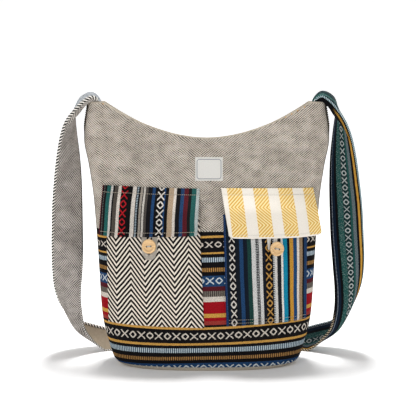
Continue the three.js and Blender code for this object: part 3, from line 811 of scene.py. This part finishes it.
# Flaps hang from their sewn top edges over the pockets' mouths.
FLAP_CLOTH = 0.0026
TAPE_CLOTH = 0.0015
TAPE_GAP = 0.0003
FLAP_FULL = POCKET_PUFF + POCKET_CLOTH + TAPE_CLOTH + 2 * TAPE_GAP


def flap_lift(s, t, x, up):
    """Gap + full (1 - 0.3 |2s - 1|^3) smooth(down, -0.05, 0.5), less a groove where the flap is
    stitched below its top edge."""
    side = 1 - 0.3 * np.abs(2 * s - 1) ** 3
    groove = 0.0007 * np.exp(-((t - 0.87) * 0.07 / 0.0014) ** 2) * (np.abs(2 * s - 1) < 0.995)
    return PATCH_GAP + FLAP_FULL * side * smooth(1 - t, -0.05, 0.5) - groove


# Left flap: narrow upright stripes of many colours, a red and a white column of rings.
FLAP_WIDE = 0.1445
FLAP_BANDS = (
    (0.0, rgb(86, 20, 32)),
    (0.8, rgb(24, 22, 24)),
    (7.2, rgb(38, 94, 90)),
    (12.9, rgb(200, 197, 192)),
    (16.2, rgb(18, 17, 19)),
    (18.6, rgb(78, 72, 66)),
    (24.1, rgb(212, 203, 192)),
    (28.6, rgb(15, 14, 15)),
    (45.5, rgb(206, 198, 189)),
    (51.1, rgb(15, 14, 15)),
    (57.4, rgb(150, 142, 132)),
    (60.4, rgb(20, 19, 20)),
    (61.9, rgb(196, 190, 181)),
    (64.9, rgb(76, 71, 67)),
    (68.6, rgb(22, 21, 23)),
    (75.0, rgb(32, 64, 104)),
    (79.1, rgb(15, 14, 15)),
    (92.4, rgb(32, 64, 104)),
    (94.6, rgb(18, 17, 18)),
    (98.8, rgb(176, 153, 127)),
    (106.2, rgb(214, 205, 195)),
    (110.3, rgb(22, 21, 23)),
    (116.8, rgb(36, 66, 104)),
    (121.6, rgb(88, 30, 38)),
    (128.0, rgb(26, 26, 27)),
    (132.6, rgb(40, 92, 88)),
    (139.0, rgb(176, 184, 182)),
)


def paint_flap(u, v, grain):
    ragged = (grain(0.003, 0.0012) - 0.5) * 0.0008
    sway = (grain(0.3, 0.03, 0.0) - 0.5) * 0.0025
    colour = striped(u + ragged + sway, FLAP_WIDE, FLAP_BANDS)
    for at, tint in ((0.0339, rgb(176, 28, 36)), (0.0883, rgb(222, 216, 208))):
        colour = rings_and_crosses(v - 0.0460, u + sway - at, 0.0247, 0.0052, 0.0046).mix(colour, tint)
    colour = dotted(colour, u + sway, v.fold(0.0022).step(0.4, 0.6), (
        (0.0036, 0.0006, rgb(120, 116, 112)), (0.0538, 0.0012, rgb(170, 186, 196)),
    ))
    return hand_loomed(colour, u, v, grain)


flap_stripes = weave("flap_stripes", paint_flap)
LEFT_FLAP = ((-153, 274), (-10, 270), (-159, 201), (-13.5, 204))
left_flap = add_patch(
    "striped_flap_cloth", LEFT_FLAP, flap_lift, FLAP_CLOTH, [flap_stripes, lining],
    "flap_stripes", "striped_flap", corner=0.003,
)


# Right flap: off-white cotton with four broad yellow herringbone stripes. The list gives, as
# shares of the width, where a gap and a stripe start by turns.
YELLOW_WIDE = 0.1355
YELLOW_SHIFT = 0.0016
YELLOW_LEAN = 0.051
YELLOW_EDGES = (0.0, 0.044, 0.208, 0.33, 0.488, 0.605, 0.76, 0.877)
YELLOW_TURNS = 0.0504


def paint_yellow(u, v, grain):
    u = u + YELLOW_SHIFT - v * YELLOW_LEAN
    share = (u + (grain(0.003, 0.0012) - 0.5) * 0.0012) / YELLOW_WIDE
    inside = share.bands([(edge, (k % 2, k % 2, k % 2, 1)) for k, edge in enumerate(YELLOW_EDGES)])
    turn = (v - 0.0198).fold(YELLOW_TURNS) * (YELLOW_TURNS / 2)
    line = (u + turn * 1.07).wave(0.0051).step(-0.5, 0.6)
    gold = line.mix(rgb(244, 224, 168), rgb(217, 168, 74))
    yarn = grain(0.0012, None, 1.0, 5.0)
    ground = yarn.mix(rgb(226, 217, 205), rgb(246, 240, 230))
    inside = inside * (v > 0.0024)
    return inside.mix(ground, gold), threads(u, v, 0.0008) * 0.5 + yarn + line * inside * 0.5


yellow = weave("yellow_stripes", paint_yellow, relief=0.0004)
RIGHT_FLAP = ((21, 271), (157, 270), (33, 200.5), (171, 200.5))
right_flap = add_patch(
    "yellow_flap_cloth", RIGHT_FLAP, flap_lift, FLAP_CLOTH, [yellow, lining],
    "yellow_stripes", "yellow_flap", corner=0.007,
)


# Woven label: white satin tape with a thin grey border line, bare inside, sewn all round.
def paint_label(u, v, grain):
    """The border line is 1 mm wide, 3.5 mm outside a rectangle of 28 by 21 mm."""
    x, y = abs(u - 0.0205) - 0.0140, abs(v - 0.017) - 0.0105
    far = (x.most(0.0) ** 2 + y.most(0.0) ** 2) ** 0.5
    line = abs(far - 0.0035) < 0.0005
    satin = threads(u, v, 0.0004)
    ground = grain(0.0015).mix(rgb(205, 203, 198), rgb(224, 222, 217))
    return line.mix(ground, rgb(132, 136, 144)), satin


label_cloth = weave("label_cloth", paint_label, rough=0.6, relief=0.0001)
LABEL = ((-17, 315), (24, 315), (-17, 281), (24, 281))
label = add_patch(
    "woven_label", LABEL, lambda s, t, x, up: PATCH_GAP + 0 * x, 0.001, [label_cloth, label_cloth],
    "label_cloth", "label",
)


# Seams: the label is sewn all round, each flap has a row of stitches below its top edge and
# one above its lower edge, and the striped pocket has two rows along its lower edge.
def sewn(name, face, ends, *how):
    """Stitches on a patch's face, along lines from one (s, t) to another."""
    stitches(name, [patch_line(face, *pair) for pair in ends], *how)


sewn(
    "label_stitches", label,
    (((0.03, 0.04), (0.97, 0.04)), ((0.03, 0.96), (0.97, 0.96)),
     ((0.03, 0.04), (0.03, 0.96)), ((0.97, 0.04), (0.97, 0.96))),
    0.0024, 0.7, 0.0003, white_thread, "label_cloth",
)
sewn(
    "striped_flap_stitches", left_flap,
    (((0.005, 0.87), (0.995, 0.87)), ((0.01, 0.085), (0.99, 0.085))),
    0.0028, 0.8, 0.00045, beige_thread, "flap_stripes",
)
sewn(
    "yellow_flap_stitches", right_flap,
    (((0.01, 0.87), (0.99, 0.87)), ((0.08, 0.07), (0.92, 0.07))),
    0.0028, 0.75, 0.0004, white_thread, "yellow_stripes",
)
sewn(
    "striped_pocket_stitches", right_pocket,
    (((0.03, 0.028), (0.99, 0.012)), ((0.03, 0.058), (0.99, 0.04))),
    0.003, 0.8, 0.0004, beige_thread, "pocket_stripes",
)


# Loops: cream cotton tape. The left one is a broad tab with a rounded tip round its
# button's shank, and the right one two legs that meet behind the button.
def ribbed(low, high):
    """Tape with ribs along it, between two tones."""
    def paint(u, v, grain):
        return grain(0.0015).mix(low, high), u.wave(0.0011) + threads(u, v, 0.0005)
    return paint


tape = weave("cotton_tape", ribbed(rgb(190, 181, 168), rgb(222, 214, 203)))
pale_tape = weave("pale_tape", ribbed(rgb(240, 234, 224), rgb(254, 252, 247)))


def tape_leg(name, corners, lift, *nodes):
    """A leg of tape on a pocket's face, between corners as a patch has them."""
    def off(s, t, x, up):
        return lift(x, up) + POCKET_CLOTH + TAPE_GAP
    add_patch(name, corners, off, TAPE_CLOTH, [pale_tape, pale_tape], "tape", *nodes, corner=0.003)


LEFT_BUTTON = (-0.083, 0.189)
RIGHT_BUTTON = (0.101, 0.185)
turn = np.linspace(0, 2 * np.pi, 121)[None, :]
w = np.linspace(0, 1, 9)[:, None]
half = 0.004 + 0.0075 * w
reach = np.where(np.sin(turn) > 0, 0.024 - 0.0075 * (1 - w), 0.0125 + 0.0075 * w)
power = np.where(np.sin(turn) > 0, 0.35, 0.85)
x = LEFT_BUTTON[0] + half * np.sign(np.cos(turn)) * np.abs(np.cos(turn)) ** power
up = LEFT_BUTTON[1] + reach * np.sign(np.sin(turn)) * np.abs(np.sin(turn)) ** power
round_edge = np.sqrt(1 - (2 * w - 1) ** 6)
grids = []
for face in (1, -1):
    thick = TAPE_CLOTH / 2 * (1 + face * round_edge)
    y = front_y(x, up) - left_lift(x, up) - POCKET_CLOTH - TAPE_GAP - thick
    points = np.stack([x, y, up], -1)
    uv = np.stack([half * w + 0 * x, run(points, 1)], -1)
    grids.append((points if face > 0 else points[::-1], uv if face > 0 else uv[::-1], 0))
add_cloth("left_tape_loop", grids, [tape], "tape", "left_loop")
OUTER_LEG = ((86.5, 213), (94.6, 213), (89.2, 183.5), (91.8, 183.5))
INNER_LEG = ((97.3, 213), (105.2, 213), (97, 188), (101, 188))
tape_leg("right_tape_leg", OUTER_LEG, right_lift, "right_loop")
tape_leg("right_tape_inner_leg", INNER_LEG, right_lift)


# Buttons: pale wood turned with a dished face and a raised rim, two holes, white thread. The holes are
# shallow pits painted dark brown as painted shade.
def paint_wood(u, v, grain):
    rings = (v + (grain(0.02, 0.004) - 0.5) * 0.004).wave(0.0021)
    fine = grain(0.006, 0.0004, 3.0, 4.0)
    tone = rings * 0.22 + fine
    # Painted shade: the two holes are coloured dark brown over the mesh's shallow pits.
    painted_hole_shade = (((abs(u) - 0.0029) ** 2 + v**2) ** 0.5) < 0.0014
    colour = tone.step(0.2, 0.95).mix(rgb(226, 192, 144), rgb(184, 138, 84))
    return painted_hole_shade.mix(colour, rgb(44, 28, 18)), fine


wood = weave("pale_wood", paint_wood, rough=0.5, relief=0.0001, specular=0.4)


BUTTON_HALF = 0.0023
SHANK_GAP = 0.00035
HOLE_OFF = 0.0027


def add_button(name, node, across, up, lift, tilt):
    """A turned face of profile (r, z) on the pocket's face, with pits of 1.1 mm radius, and
    two strands of thread between them."""
    def face_at(x, z):
        return np.array([x, front_y(x, z) - lift(x, z) - POCKET_CLOTH, z])
    step = 0.00525
    over = unit(face_at(across + step, up) - face_at(across - step, up))
    rise = face_at(across, up + step) - face_at(across, up - step)
    out = unit(np.cross(over, rise))
    middle = face_at(across, up) + out * (2 * TAPE_GAP + TAPE_CLOTH + BUTTON_HALF + SHANK_GAP)
    over = over * math.cos(tilt) + np.cross(out, over) * math.sin(tilt)
    rise = np.cross(out, over)
    profile = np.array([
        (0.0001, 0.0011), (0.0058, 0.0011), (0.0064, 0.0013), (0.0072, 0.0020), (0.0080, 0.0023),
        (0.0092, 0.0022), (0.0101, 0.0014), (0.0105, 0.0), (0.0101, -0.0014), (0.0084, -0.0023),
        (0.0001, -0.0023),
    ])
    places = np.concatenate([np.linspace(0, 1, 26), np.linspace(1, 10, 60)[1:]])
    r, z = (np.interp(places, np.arange(11), profile[:, k])[:, None] for k in (0, 1))
    angle = np.linspace(0, 2 * np.pi, 97)[None, :]
    x, y = r * np.cos(angle), r * np.sin(angle)
    pit = smooth(0.0013 - np.hypot(np.abs(x) - HOLE_OFF, y), 0, 0.0004) * (z > 0)
    z = z - 0.0016 * pit
    points = middle + x[..., None] * over + y[..., None] * rise + z[..., None] * out
    add_cloth(name, [(points, np.stack([x, y], -1), 0)], [wood], "wood", node)
    grids = []
    t = np.linspace(-1, 1, 17)[:, None]
    for strand in (-0.00045, 0.00045):
        height = 0.0011 + 0.0009 * (1 - t**4) - 0.0009 * t**8
        path = middle + t * HOLE_OFF * over + strand * rise + height * out
        grids.append((*tube(path, np.full(17, 0.0005), 8), 0))
    add_cloth(name + "_thread", grids, [white_thread], "wood")


add_button("left_wood_button", "left_button", *LEFT_BUTTON, left_lift, 0.1)
add_button("right_wood_button", "right_button", *RIGHT_BUTTON, right_lift, -0.25)

# Strap: each half is folded narrow and thick inside its peak, opens out over the arch, and
# falls beside the bag and round behind it. Each row of a route is one equal step: out, back
# and up as shares, turn of the width in degrees, and bow.
ROOT = ((0.864, 0.0, 0.925, 90, 0), (0.867, 0.0, 0.98, 90, 0))
BEHIND = (
    (0.64, 1.4, 0.0, -132, 0.04),
    (0.42, 1.45, 0.0, -132, 0.02),
    (0.21, 1.46, 0.0, -132, 0),
    (0.0, 1.46, 0.0, -132, 0),
)
HEMP_ROUTE = np.array([
    *ROOT,
    (0.89, 0.0, 1.013, 94, 0),
    (0.948, 0.0, 1.027, 104, 0),
    (1.03, 0.02, 1.005, 102, 0),
    (1.093, 0.06, 0.965, 92, 0),
    (1.122, 0.1, 0.93, 80, 0),
    (1.138, 0.15, 0.88, 68, 0.02),
    (1.147, 0.2, 0.795, 52, 0.03),
    (1.156, 0.27, 0.695, 37, 0.03),
    (1.166, 0.34, 0.597, 25, 0.02),
    (1.174, 0.43, 0.487, 14, 0.02),
    (1.182, 0.54, 0.368, -4, 0.05),
    (1.188, 0.68, 0.26, -28, 0.1),
    (1.158, 0.83, 0.18, -50, 0.18),
    (1.088, 1.0, 0.11, -78, 0.24),
    (0.98, 1.17, 0.065, -104, 0.2),
    (0.84, 1.31, 0.03, -124, 0.1),
    *BEHIND,
])
STRIPED_ROUTE = np.array([
    *ROOT,
    (0.89, 0.0, 1.014, 94, 0),
    (0.95, 0.0, 1.03, 105, 0),
    (1.03, 0.02, 1.008, 103, 0),
    (1.08, 0.06, 0.97, 92, 0),
    (1.103, 0.1, 0.93, 78, 0),
    (1.119, 0.15, 0.875, 63, 0.02),
    (1.132, 0.2, 0.795, 47, 0.03),
    (1.148, 0.27, 0.695, 32, 0.03),
    (1.166, 0.34, 0.597, 18, 0.02),
    (1.183, 0.43, 0.487, 6, 0.02),
    (1.203, 0.54, 0.378, -8, 0.05),
    (1.208, 0.68, 0.275, -30, 0.1),
    (1.176, 0.84, 0.185, -54, 0.18),
    (1.095, 1.02, 0.11, -82, 0.24),
    (0.975, 1.18, 0.065, -106, 0.2),
    (0.835, 1.31, 0.03, -124, 0.1),
    *BEHIND,
])
STRAP_CLOTH = 0.0032
HEMP_WIDE = 0.047
STRIPED_WIDE = 0.049
ROOT_WIDE = 0.016
ROOT_THICK = 0.005
# Each half: its route, its full width, and its hand, -1 on the left.
HEMP_HALF = (HEMP_ROUTE, HEMP_WIDE, -1)
STRIPED_HALF = (STRIPED_ROUTE, STRIPED_WIDE, 1)


def strap_points(route, full, hand, along, s, side):
    """Centre + over s W/2 + face (bow W (1 - s^2) + side T/2 (1 - 0.4 s^8)), with the
    width W and thickness T opening from the folded root, and over turned about the travel."""
    last = len(route) - 1
    table = np.column_stack([np.arange(last + 1) / last, route])

    def centre(at):
        out, back, up = (read(table, at, k) for k in (1, 2, 3))
        return np.stack([-out * HALF_WIDTH, back * HALF_DEPTH, up * PEAK], -1)

    step = 1e-3
    travel = unit(centre(np.minimum(1, along + step)) - centre(np.maximum(0, along - step)))
    zero = np.zeros_like(along)
    left = unit(np.stack([-travel[..., 2], zero, travel[..., 0]], -1))
    turn = np.radians(read(table, along, 4))[..., None]
    over = left * np.cos(turn) + np.sin(turn) * np.array([0, 1, 0])
    over = unit(over - np.sum(over * travel, -1, keepdims=True) * travel)
    face = np.cross(travel, over)
    opened = smooth(along * last, 1.8, 5.2)[..., None]
    wide = ROOT_WIDE + (full - ROOT_WIDE) * opened
    thick = ROOT_THICK + (STRAP_CLOTH - ROOT_THICK) * opened
    bow = read(table, along, 5)[..., None] * wide

    def offset(s, side):
        lift = bow * (1 - s * s) + side * thick / 2 * (1 - 0.4 * s**8)
        return over * s * wide / 2 + face * lift

    lowest = np.minimum.reduce([offset(a, b)[..., 2] for a in (-1, 0, 1) for b in (-1, 1)])
    middle = centre(along)
    middle[..., 2] = np.maximum(middle[..., 2], -np.minimum(lowest, 0))
    middle[..., 0] -= SEAM_GAP / 2 * smooth(along, 1 - 1 / last, 1)
    point = middle + offset(s, side)
    return point * np.array([-hand, 1, 1]), wide[..., 0]


def add_strap(name, route, full, hand, materials, slot, node):
    """Both faces of the strap, meeting along its edges. UV: across from the middle, along."""
    along = np.linspace(0, 1, 330)[:, None]
    s = np.sin(np.linspace(-np.pi / 2, np.pi / 2, 29))[None, :, None]
    grids = []
    for side in (1, -1):
        points, wide = strap_points(route, full, hand, along + 0 * s[..., 0], s, side)
        length = run(strap_points(route, full, hand, along, np.zeros((1, 1, 1)), 0)[0], 0)
        uv = np.stack([s[..., 0] * wide / 2, length + 0 * wide], -1)
        if side * hand > 0:
            points, uv = points[:, ::-1], uv[:, ::-1]
        grids.append((points, uv, 0 if side > 0 else 1))
    add_cloth(name, grids, materials, slot, node)


# Left half: grey hemp in front, and behind it a silvery face over the arch that turns plain
# and brown lower down.
def paint_hemp_strap(u, v, grain):
    tones = (rgb(170, 163, 156), rgb(198, 191, 184))
    return hemp_basket(u, v, 0.0034, 0.0043, grain(0.04).step(0.4, 0.6), grain, tones, rgb(24, 21, 20))


def paint_hemp_back(u, v, grain):
    tone = grain(0.004, None, 3.0)
    beige = tone.mix(rgb(140, 127, 109), rgb(170, 157, 138))
    silver = grain(0.0014, 0.005, 2.0).step(0.3, 0.6).mix(rgb(92, 96, 100), rgb(172, 176, 180))
    return v.step(0.11, 0.2).mix(silver, beige), threads(u, v, 0.0008)


hemp_strap = weave("hemp_strap", paint_hemp_strap, relief=0.0004)
hemp_back = weave("hemp_strap_back", paint_hemp_back)
add_strap("hemp_strap_half", *HEMP_HALF, [hemp_strap, hemp_back], "hemp_strap", "strap_left")

# Right half: stripes along the strap, from its inner edge outwards, in shares of its width.
STRAP_BANDS = (
    (0.0, rgb(14, 14, 17)),
    (0.045, rgb(17, 32, 50)),
    (0.165, rgb(12, 13, 16)),
    (0.25, rgb(35, 80, 76)),
    (0.42, rgb(20, 46, 47)),
    (0.635, rgb(35, 80, 76)),
    (0.70, rgb(120, 132, 136)),
    (0.80, rgb(14, 14, 16)),
    (0.868, rgb(196, 146, 60)),
    (0.932, rgb(14, 14, 16)),
    (0.975, rgb(110, 126, 132)),
)


def paint_strap(u, v, grain, way=1):
    """Stripes with a column of rings and crosses that starts where the strap opens out. The way
    is -1 for the cloth's wrong side."""
    far = u > 0.0045
    u = u * way
    share = 0.5 - u / STRIPED_WIDE + (grain(0.0012, 0.003) - 0.5) * 0.02
    colour = share.bands(STRAP_BANDS)
    opened = v.step(0.06, 0.085)
    colour = (far * (1 - opened)).mix(colour, rgb(50, 60, 64))
    letters = rings_and_crosses(v, u + 0.0014, 0.0225, 0.0045, 0.0045) * opened
    colour = letters.mix(colour, rgb(176, 182, 180))
    colour = dotted(colour, u, v.fold(0.0022).step(0.4, 0.6), [(0.0210, 0.0006, rgb(150, 160, 170))])
    hatch = (v + u).wave(0.0026).step(-0.2, 0.2) * (abs(u + 0.0123) < 0.0026)
    colour = hatch.mix(colour, rgb(60, 72, 76))
    flecks = grain(0.0012, None, 0.0, 9.0).step(0.62, 0.7) * (abs(u - 0.0080) < 0.0045)
    colour = flecks.mix(colour, rgb(128, 150, 146))
    return hand_loomed(colour, u, v, grain)


def paint_strap_back_with_shade(u, v, grain):
    """The cloth's wrong side is reversed, and past the arch it is mixed towards near black as painted
    shade.
    """
    colour, rise = paint_strap(u, v, grain, -1)
    # Painted shade: past the arch the strap's back face is darkened towards near black.
    return (v.step(0.12, 0.32) * (grain(0.0012) * 0.2 + 0.42)).mix(colour, rgb(8, 12, 16)), rise


strap_stripes = weave("strap_stripes", paint_strap)
strap_back_with_shade = weave("strap_stripes_back_with_shade", paint_strap_back_with_shade)
add_strap(
    "striped_strap_half", *STRIPED_HALF, [strap_stripes, strap_back_with_shade], "strap_stripes", "strap_right",
)


# The strap's edges are whipped all along with slanting threads, dark and light. The inner edges are
# painted all dark along their first stretch, as painted shade.
def whipped(dark, light, pitch, painted_shade_length=0.0):
    """Threads from `light` to `dark` at a slant; along the first stretch, of the length given last, they
    are painted all dark as painted shade.
    """
    def paint(u, v, grain):
        slant = (v + u * pitch * 2).wave(pitch)
        yarn = grain(0.2, 0.0016)
        thread = (slant + (yarn - 0.5) * 1.5).step(0.0, 0.4) * v.step(painted_shade_length - 0.03, painted_shade_length)
        return thread.mix(dark, light), slant + yarn * 0.5
    return paint


BONE = rgb(240, 236, 228)
JET = rgb(12, 11, 12)
whip_hemp = weave("whipped_hemp_edge", whipped(JET, BONE, 0.005), relief=0.0004)
# Painted shade: the left inner edge's whipping is all dark along its first 0.3 metres.
whip_hemp_inner = weave("whipped_hemp_inner_edge", whipped(rgb(44, 39, 36), BONE, 0.0036, 0.3))
whip_outer = weave("whipped_outer_edge", whipped(rgb(44, 84, 86), rgb(190, 202, 208), 0.003))
# Painted shade: the right inner edge's whipping is all dark along its first 0.4 metres.
whip_inner = weave("whipped_inner_edge", whipped(JET, rgb(200, 184, 158), 0.0044, 0.4))
for name, half, s, radius, material, slot in (
    ("hemp_strap_outer_whipping", HEMP_HALF, -0.93, 0.0023, whip_hemp, "hemp_strap"),
    ("hemp_strap_inner_whipping", HEMP_HALF, 0.97, 0.0014, whip_hemp_inner, "hemp_strap"),
    ("striped_strap_outer_whipping", STRIPED_HALF, -0.97, 0.0014, whip_outer, "strap_stripes"),
    ("striped_strap_inner_whipping", STRIPED_HALF, 0.97, 0.0017, whip_inner, "strap_stripes"),
):
    path, _ = strap_points(*half, np.linspace(0.09, 1, 320), np.array([[s]]), 0)
    path[:, 2] = np.maximum(path[:, 2], radius)
    add_cloth(name, [(*tube(path, np.full(len(path), radius)), 0)], [material], slot)


# Over each peak the strap is folded lengthwise, so that a strip of its front face shows
# under its edge until it opens out.
def add_root_fold(name, route, full, hand, deep, material, slot):
    """Rows p + h k i with p the strap's edge, i inwards to the arch's middle, k from 0 to 1
    and h = deep sin(pi a)^0.6, folded back at the free edge. UV: depth, length."""
    share = np.linspace(0, 1, 80)
    edge, _ = strap_points(route, full, hand, 0.05 + 0.315 * share, np.array([[-0.9]]), 0)
    inward = np.array([hand * 0.172, 0.05, 0.362]) - edge
    inward[:, 1] = 0.004
    inward = unit(inward)
    tall = (deep * np.sin(np.pi * share) ** 0.6)[:, None] + 0.0002
    k = np.linspace(0, 1, 9)[:, None, None]
    outer = edge + k * tall * inward
    wall = folded(outer, outer + (0, 0.0014, 0))
    down = run(wall, 0)
    uv = np.stack([down, run(edge[:, None], 0)[:, 0] + 0 * down], -1)
    add_cloth(name, [(wall, uv, 0)], [material], slot)


def paint_fold(u, v, grain):
    gold = (abs(u - 0.0046) < 0.0013) * v.step(0.045, 0.06) * v.fold(0.0026).step(0.1, 0.4)
    return hand_loomed(gold.mix(rgb(13, 13, 16), rgb(186, 138, 56)), u, v, grain)


strap_fold = weave("striped_fold", paint_fold)
add_root_fold("hemp_strap_fold", *HEMP_HALF, 0.0075, hemp_strap, "hemp_strap")
add_root_fold("striped_strap_fold", *STRIPED_HALF, 0.0090, strap_fold, "strap_stripes")

# Sweep: a wide white sheet that the bag stands on, curved up behind it. It glows as painted light, dimly
# near the bag and fully away from it, which paints shade on the floor round the bag.
sweep = bpy.data.materials.new("white_sweep")
sweep.use_nodes = True
shader = sweep.node_tree.nodes["Principled BSDF"]
shader.inputs["Base Color"].default_value = (1, 1, 1, 1)
shader.inputs["Roughness"].default_value = 1.0
shader.inputs["Specular IOR Level"].default_value = 0.0
# Painted light: the sheet glows, dimly within 0.3 m of the middle and fully past 0.9 m, which paints
# shade round the bag.
shader.inputs["Emission Strength"].default_value = 0.45
place = Wire(sweep.node_tree).node("TexCoord", output=3)
away = place.node("VectorMath", {"operation": "LENGTH"}, {0: place}, 1).step(0.3, 0.9)
painted_glow = away.mix(rgb(60, 60, 60), rgb(255, 255, 255))
sweep.node_tree.links.new(painted_glow.socket, shader.inputs["Emission Color"])
turn = np.linspace(0, np.pi / 2, 24)
depth = np.concatenate([[-20], 4 + 2 * np.sin(turn), [6]])
height = np.concatenate([[0], 2 - 2 * np.cos(turn), [14]])
points = np.zeros((26, 2, 3))
points[..., 0] = (-20, 20)
points[..., 1] = depth[:, None]
points[..., 2] = height[:, None]
at = np.arange(52).reshape(26, 2)
mesh = bpy.data.meshes.new("sweep")
mesh.from_pydata(points.reshape(-1, 3), [], np.stack([at[:-1, 0], at[:-1, 1], at[1:, 1], at[1:, 0]], -1))
mesh.polygons.foreach_set("use_smooth", np.ones(25, bool))
mesh.materials.append(sweep)
floor = bpy.data.objects.new("sweep", mesh)
bpy.context.collection.objects.link(floor)
